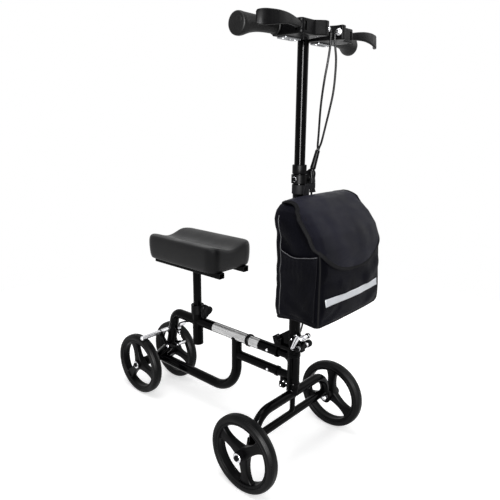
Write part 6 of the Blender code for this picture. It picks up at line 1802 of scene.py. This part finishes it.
# Bag by its rise above the floor of the bag: half width in front, half width behind, front, corner radius
BAG_SECTIONS = ((0.000, 0.1270, 0.1060, -0.4110, 0.010), (0.010, 0.1310, 0.1130, -0.4160, 0.011),
                (0.040, 0.1320, 0.1165, -0.4170, 0.012), (0.090, 0.1295, 0.1150, -0.4150, 0.012),
                (0.135, 0.1280, 0.1140, -0.4140, 0.013), (0.170, 0.1285, 0.1175, -0.4100, 0.014),
                (0.200, 0.1290, 0.1215, -0.3990, 0.016), (0.228, 0.1275, 0.1225, -0.3790, 0.018),
                (0.246, 0.1230, 0.1170, -0.3610, 0.020), (0.256, 0.1140, 0.1060, -0.3460, 0.022),
                (0.262, 0.1000, 0.0900, -0.3300, 0.022))

# Folds of the cloth: both ends (along the face, above the floor of the bag), width and height
FRONT_FOLDS = (((-0.128, 0.136), (-0.046, 0.076), 0.030, 0.0042), ((-0.128, 0.108), (-0.070, 0.096), 0.014, -0.0026),
               ((-0.130, 0.050), (-0.052, 0.000), 0.026, 0.0036), ((-0.110, 0.012), (-0.060, 0.036), 0.014, -0.0020),
               ((0.126, 0.110), (0.058, 0.074), 0.026, 0.0034), ((0.128, 0.044), (0.064, 0.004), 0.024, 0.0030),
               ((-0.010, 0.118), (0.040, 0.090), 0.022, -0.0024))
SIDE_FOLDS = (((-0.410, 0.078), (-0.362, 0.004), 0.022, 0.0042), ((-0.395, 0.020), (-0.330, 0.052), 0.018, -0.0030),
              ((-0.300, 0.112), (-0.372, 0.124), 0.018, 0.0030), ((-0.296, 0.070), (-0.350, 0.098), 0.016, -0.0024),
              ((-0.300, 0.232), (-0.356, 0.170), 0.036, 0.0050), ((-0.292, 0.196), (-0.322, 0.166), 0.018, -0.0034),
              ((-0.360, 0.226), (-0.392, 0.186), 0.016, -0.0026), ((-0.288, 0.030), (-0.318, 0.006), 0.016, 0.0030))

# Flap by its height above the floor of the bag: how far it reaches to the right and to the left
FLAP_WIDTHS = ((0.000, 0.1330, 0.1320), (0.170, 0.1340, 0.1330), (0.205, 0.1345, 0.1320), (0.229, 0.1340, 0.1300),
               (0.2527, 0.1270, 0.1270), (0.262, 0.1170, 0.1250), (0.268, 0.1090, 0.1230), (0.280, 0.1040, 0.1200))

# Mouth of the side pocket: place along the bag and rise
POCKET_MOUTH = ((-0.3015, 0.1590), (-0.3134, 0.1540), (-0.3341, 0.1490), (-0.3504, 0.1492), (-0.3666, 0.1518),
                (-0.3909, 0.1560), (-0.4060, 0.1600))


def between(table, spot):
    """Values of a table's rows at a spot between its first values."""
    spot = min(max(spot, table[0][0]), table[-1][0])
    for low, high in zip(table, table[1:]):
        if spot <= high[0]:
            part = (spot - low[0]) / (high[0] - low[0])
            return [a + (b - a) * part for a, b in zip(low[1:], high[1:])]


def bag_swell(x, rise, half, bulge):
    """How far the front stands out at a place."""
    share_up = min(max(rise / BAG_SECTIONS[-1][0], 0.0), 1.0)
    high = 0.35 + 0.65 * sin(pi * min(share_up * 1.15, 1.0)) ** 0.8
    return bulge * high * (1 - min(abs(x / half), 1.0) ** 2.4)


def bag_crease(spot, folds):
    """Depth of the cloth's small creases at a place on the bag."""
    long_folds = noise.noise(Vector((spot.x * 11, spot.y * 11, spot.z * 7 + 3.1)))
    cross_folds = noise.noise(Vector((spot.x * 24 + spot.z * 12, spot.y * 26, spot.z * 19)))
    return folds * (0.45 * long_folds + 0.35 * cross_folds)


def fold_height(along, rise, folds):
    """Height of the large folds at a place on a face of the bag."""
    total = 0.0
    for (first_along, first_rise), (last_along, last_rise), width, height in folds:
        span = Vector((last_along - first_along, last_rise - first_rise))
        spot = Vector((along - first_along, rise - first_rise))
        part = min(max(spot.dot(span) / span.length_squared, 0.0), 1.0)
        gap = min((spot - span * part).length / width, 1.0)
        total += height * (1 - gap) ** 2 * (1 + 2 * gap)
    return total


def front_push(x, rise, half, wish):
    """How far the cloth of the front is pushed out at a place."""
    edge = min(rise / 0.02, 1.0) * min((half - min(abs(x), half)) / 0.014, 1.0)
    spot = Vector((x, -0.41, BAG_LOW + rise))
    deep = fold_height(x, rise, FRONT_FOLDS) * wish.folds / 0.0045
    return (bag_crease(spot, wish.folds) + deep) * edge


def side_push(y, rise, side, front, wish):
    """How far the cloth of a side is pushed out at a place."""
    edge = min(rise / 0.02, 1.0) * min(abs(y - front) / 0.016, 1.0) * min(abs(BAG_BACK - y) / 0.012, 1.0)
    spot = Vector((side * 0.13, y, BAG_LOW + rise))
    deep = fold_height(y, rise, SIDE_FOLDS) * wish.folds / 0.0045
    return (bag_crease(spot, wish.folds) + deep) * edge


def bag_sag(y, rise):
    """How far the foot of the bag hangs down towards its back."""
    return -0.0135 * min(max((y + 0.365) / 0.08, 0.0), 1.0) ** 1.6 * max(0.0, 1 - rise / 0.06)


def bag_front(x, rise, wish, lift=0.0):
    """Point on the bag's front, lifted off it."""
    half, _, front, corner = between(BAG_SECTIONS, rise)
    past = min(max(abs(x) - (half - corner), 0.0), corner)
    y = front + corner - sqrt(corner ** 2 - past ** 2) - bag_swell(x, rise, half, wish.bulge)
    return Vector((x, y - front_push(x, rise, half, wish) - lift, BAG_LOW + rise))


def bag_side(y, rise, side, wish, lift=0.0):
    """Point on a side of the bag, lifted off it."""
    half, rear, front, corner = between(BAG_SECTIONS, rise)
    part = min(max((y - front - corner) / (BAG_BACK - front - corner), 0.0), 1.0)
    x = half + (rear - half) * part + side_push(y, rise, side, front, wish) + lift
    return Vector((side * x, y, BAG_LOW + rise + bag_sag(y, rise)))


def bag_ring(rise, half, rear, front, corner, wish):
    """Ring of the bag at a rise, finer than the model and with its folds."""
    soft = 0.012
    across = [-half + corner + 2 * (half - corner) * step / 44 for step in range(45)]
    along = [front + corner + (BAG_BACK - soft - front - corner) * step / 30 for step in range(31)]
    ring = [bag_front(x, rise, wish) for x in across]
    ring += [Vector((x, y, BAG_LOW + rise)) for x, y in arc((half - corner, front + corner), corner, 270, 360, 8)[1:-1]]
    ring += [bag_side(y, rise, 1, wish) for y in along]
    tail = ring[-1]
    low = tail.z
    ring += [Vector((x, y, low)) for x, y in arc((tail.x - soft, BAG_BACK - soft), soft, 0, 90, 6)[1:]]
    inner = tail.x - soft
    ring += [Vector((inner - 2 * inner * step / 24, BAG_BACK, low)) for step in range(1, 24)]
    back = [bag_side(y, rise, -1, wish) for y in reversed(along)]
    inner = back[0].x + soft
    ring += [Vector((x, y, low)) for x, y in arc((inner, BAG_BACK - soft), soft, 90, 180, 6)[:-1]]
    ring += back
    ring += [Vector((x, y, BAG_LOW + rise))
             for x, y in arc((-half + corner, front + corner), corner, 180, 270, 8)[1:-1]]
    return ring


def bag_body(wish):
    """Bag shell, open at its top under the flap."""
    shell = Shell()
    rows = refine(BAG_SECTIONS, 8)
    rings = [bag_ring(*row, wish) for row in rows]
    middle = Vector((0, -0.347, BAG_LOW))
    floor = []
    for part in (0.05, 0.3, 0.55, 0.8, 0.95):
        ring = [middle.lerp(spot, part) - Vector((0, 0, 0.004 * (1 - part ** 2))) for spot in rings[0]]
        floor.append(ring)
    shell.loft(floor + rings, 0, False, False)
    shell.faces.append(tuple(range(len(rings[0]))))
    shell.looks.append(0)
    piece = shell.build("cloth_bag", "cloth", sharp=80)
    wall = piece.modifiers.new("wall", "SOLIDIFY")
    wall.thickness = 0.0022
    wall.offset = -1.0
    bake(piece)
    return piece, rings


def skin(name, look, grid, thick):
    """Thin sheet over a grid of points."""
    depth = len(grid[0])
    faces = []
    for column in range(len(grid) - 1):
        for row in range(depth - 1):
            first = column * depth + row
            faces.append((first, first + 1, first + depth + 1, first + depth))
    sheet = Shell()
    sheet.add([spot for column in grid for spot in column], faces)
    piece = sheet.build(name, look, sharp=80)
    wall = piece.modifiers.new("wall", "SOLIDIFY")
    wall.thickness = thick
    wall.offset = 0.0
    bake(piece)
    return piece


def tape(shell, line, facing, width, thick, look=0, around=False):
    """Flat folded tape along a line. Facing is the way its flat side looks at each point."""
    rings = []
    count = len(line)
    for index, spot in enumerate(line):
        ahead = line[(index + 1) % count] if around else line[min(index + 1, count - 1)]
        back = line[index - 1] if around else line[max(index - 1, 0)]
        heading = (ahead - back).normalized()
        out = (facing[index] - heading * facing[index].dot(heading)).normalized()
        across = heading.cross(out)
        rings.append([spot + across * first + out * second
                      for first, second in box_outline(width / 2, thick / 2, thick * 0.45, 3)])
    shell.loft(rings, look, around)


def make_pocket(side, wish):
    """Side pocket gathered under an elastic edge, and that edge."""
    grid = []
    columns, rows = 60, 22
    for column in range(columns + 1):
        y = POCKET_MOUTH[0][0] + (POCKET_MOUTH[-1][0] - POCKET_MOUTH[0][0]) * column / columns
        mouth = between([(-a, b) for a, b in POCKET_MOUTH], -y)[0]
        line = []
        for row in range(rows + 1):
            part = row / rows
            rise = 0.014 + (mouth - 0.014) * part
            slack = 0.0016 + 0.0034 * part ** 2 * sin(pi * column / columns) ** 0.5
            gather = 0.0004 * part ** 3 * sin(2 * pi * column / 7.5) * min(1.0, 8 * (1 - part) + 0.45)
            line.append(bag_side(y, rise, side, wish, slack + gather))
        grid.append(line)
    edge = [column[-1] + Vector((side * 0.0004, 0, 0.0006)) for column in grid]
    return grid, edge


def flap_line(wish):
    """Middle line of the flap from its rear seam, over the bag's top and down its front."""
    over_top = ((BAG_BACK - 0.001, BAG_TOP + 0.002), (BAG_BACK - 0.012, BAG_TOP + 0.006),
                (BAG_BACK - 0.030, BAG_TOP + 0.0085), (-0.324, BAG_TOP + 0.0078), (-0.337, BAG_TOP + 0.0040),
                (-0.3490, BAG_TOP - 0.0030))
    line = [Vector((0, y, z)) for y, z in over_top]
    for step in range(1, 20):
        line.append(bag_front(0.0, 0.250 - 0.008 * step, wish, 0.0032))
    return line


def flap_point(line, across, travel, wish):
    """Point of the flap by its share across and its way down its middle line."""
    done = 0.0
    spot = line[-1]
    for back, ahead in zip(line, line[1:]):
        span = (ahead - back).length
        if travel <= done + span:
            spot = back.lerp(ahead, (travel - done) / span)
            break
        done += span
    rise = spot.z - BAG_LOW
    seam = min(travel / 0.03, 1.0)
    half = between(FLAP_WIDTHS, rise)[0 if across < 0 else 1] * seam + 0.090 * (1 - seam)
    x = across * half
    down = min(max((BAG_TOP - 0.002 - spot.z) / 0.025, 0.0), 1.0)
    on_bag = bag_front(x, min(rise, 0.260), wish, 0.0032)
    y = spot.y + (on_bag.y - spot.y) * down + 0.004 * abs(across) ** 4 * (1 - down) * seam
    z = spot.z - (0.0045 if across < 0 else 0.0015) * abs(across) ** 5 * (1 - down)
    lift = 0.0016 * noise.noise(Vector((x * 14, spot.z * 11, 4.2))) * down * (1 - across ** 4)
    return Vector((x, y - abs(lift), z))


def flap_drop(across):
    """Length of the flap from its seam to its edge at a share across."""
    return 0.160 + 0.079 * sqrt(max(0.0, 1 - min(abs(across), 1.0) ** 2.2))


def make_flap(wish):
    """Flap sheet and the tape sewn round its edge."""
    columns, rows = 64, 60
    line = flap_line(wish)
    grid = []
    for column in range(columns + 1):
        across = -cos(pi * column / columns)
        grid.append([flap_point(line, across, flap_drop(across) * row / rows, wish) for row in range(rows + 1)])
    piece = skin("bag_lid", "flap", grid, 0.0024)
    edge = grid[0][1:-1] + [column[-1] for column in grid] + list(reversed(grid[-1][1:-1]))
    facing = []
    for spot in edge:
        upward = min(max((spot.z - BAG_TOP + 0.012) / 0.012, 0.0), 1.0)
        facing.append(Vector((spot.x * 5, -1 + upward, 0.25 + upward)))
    hem = Shell()
    tape(hem, edge, facing, wish.binding, 0.0042)
    return piece, hem.build("lid_binding", "binding", sharp=60)


class WALKER_OT_bag(bpy.types.Operator):
    """Bag body with its piping, side pockets, reflective stripe and flap"""

    bl_idname = "walker.bag"
    bl_label = "Bag"

    def execute(self, context):
        wish = context.scene.walker_bag
        body, rings = bag_body(wish)
        mount(body, "column", "bag_cloth", "bag_body")
        trim = Shell()
        count = len(rings[0])
        trim.sweep(rings[2], 0.0019, 10, 0, True)
        for index in (48, count - 4):
            trim.sweep([ring[index] for ring in rings[2:]], 0.0024, 10)
        mount(trim.build("bag_piping", "binding", sharp=60), "column", "bag_cloth")
        rear = Shell()
        for hand, side in SIDES.items():
            rear.sweep([bag_side(BAG_BACK - 0.0185, 0.012 + 0.0075 * step, side, wish, 0.0002)
                        for step in range(31)], 0.0011, 8)
            grid, edge = make_pocket(side, wish)
            pocket = skin(f"side_pocket_{hand}", "cloth", grid, 0.0014)
            mount(pocket, "column", "bag_cloth")
            rear.sweep(edge, 0.0010, 8)
        mount(rear.build("pale_seams", "seam", sharp=60), "column", "bag_cloth")
        low = 0.0565 - wish.stripe_height / 2
        grid = [[bag_front(-0.112 + 0.224 * column / 60, low + wish.stripe_height * row / 4, wish, 0.0009)
                 for row in range(5)] for column in range(61)]
        mount(skin("reflective_stripe", "stripe", grid, 0.0008), "column", "bag_cloth")
        lid, hem = make_flap(wish)
        mount(lid, "bag_flap_sheet", "bag_cloth", "bag_flap")
        mount(hem, "bag_flap_sheet", "bag_cloth")
        return {"FINISHED"}


class WALKER_OT_straps(bpy.types.Operator):
    """Straps that hold the bag to the column and the cable"""

    bl_idname = "walker.straps"
    bl_label = "Bag straps"

    def execute(self, context):
        strap = Shell()
        low = CLAMP_Z - 0.0355
        high = low + 0.022
        strap.lathe(collar(COLUMN_RADIUS + GAP, 0.0171, low, high, 0.0003, 0.0004), "Z", (0, STEER_Y, 0), 56, 0, True)
        loop = rounded_box((-0.011, BAG_TOP - 0.09), (0.011, high), 0.001)
        strap.prism(loop, BAG_BACK + GAP, BAG_BACK + 0.0028, "Y", 0.0005)
        strap.prism([(-0.0085, BAG_BACK + 0.0015), (0.0085, BAG_BACK + 0.0015), (0.0085, STEER_Y - 0.0155),
                     (-0.0085, STEER_Y - 0.0155)], low + 0.001, high - 0.001)
        sleeve = refine(((0.0236, -0.2780, 0.7560, 0.0046, 0.0046), (0.0246, -0.2774, 0.7480, 0.0066, 0.0050),
                         (0.0262, -0.2766, 0.7360, 0.0070, 0.0044), (0.0285, -0.2760, 0.7290, 0.0082, 0.0038),
                         (0.0310, -0.2756, 0.7205, 0.0104, 0.0036)), 4)
        strap.loft([[Vector((x + across, y + deep, z)) for across, deep in box_outline(wide, thick, thick * 0.8)]
                    for x, y, z, wide, thick in sleeve])
        band = [(0.0, -0.2755), (0.0245, -0.2870), (0.0330, -0.2820), (0.0330, -0.2760), (0.0245, -0.2722),
                (0.0, -0.2700)]
        strap.prism(rounded_outline(band, [0.001, 0.004, 0.003, 0.003, 0.004, 0.001]), low + 0.0120, high + 0.0030,
                    "Z", 0.0008)
        mount(strap.build("column_strap", "webbing"), "column", "bag_cloth", "bag_strap")
        return {"FINISHED"}


# Panel, registration and the run

STEPS = (WALKER_OT_cables, WALKER_OT_wheels, WALKER_OT_frame, WALKER_OT_axle, WALKER_OT_hinge,
         WALKER_OT_column_top, WALKER_OT_handlebar, WALKER_OT_brake_controls, WALKER_OT_rear_brake,
         WALKER_OT_seat, WALKER_OT_pad, WALKER_OT_bag, WALKER_OT_straps, WALKER_OT_stage)


class WALKER_PT_panel(bpy.types.Panel):
    """Walker's steps and settings in the sidebar"""

    bl_idname = "WALKER_PT_panel"
    bl_label = "Knee Walker"
    bl_space_type = "VIEW_3D"
    bl_region_type = "UI"
    bl_category = "Walker"

    def draw(self, context):
        for title, holder in SETTINGS.items():
            box = self.layout.box()
            box.label(text=title.replace("_", " ").capitalize())
            for name in holder.__annotations__:
                box.prop(getattr(context.scene, title), name)
        for step in STEPS:
            self.layout.operator(step.bl_idname)


SETTINGS = {"walker_finishes": WalkerFinishes, "walker_wheels": WalkerWheels, "walker_pad": WalkerPad,
            "walker_bag": WalkerBag, "walker_stage": WalkerStage}
CLASSES = (*SETTINGS.values(), *STEPS, WALKER_PT_panel)


def register():
    """Add the walker's settings, steps and panel to Blender."""
    for item in CLASSES:
        bpy.utils.register_class(item)
    for name, holder in SETTINGS.items():
        setattr(bpy.types.Scene, name, PointerProperty(type=holder))


def unregister():
    """Take them out again."""
    for name in SETTINGS:
        delattr(bpy.types.Scene, name)
    for item in reversed(CLASSES):
        bpy.utils.unregister_class(item)


def main():
    """Make every piece."""
    register()
    for step in STEPS:
        group, name = step.bl_idname.split(".")
        getattr(getattr(bpy.ops, group), name)()


if __name__ == "__main__":
    main()
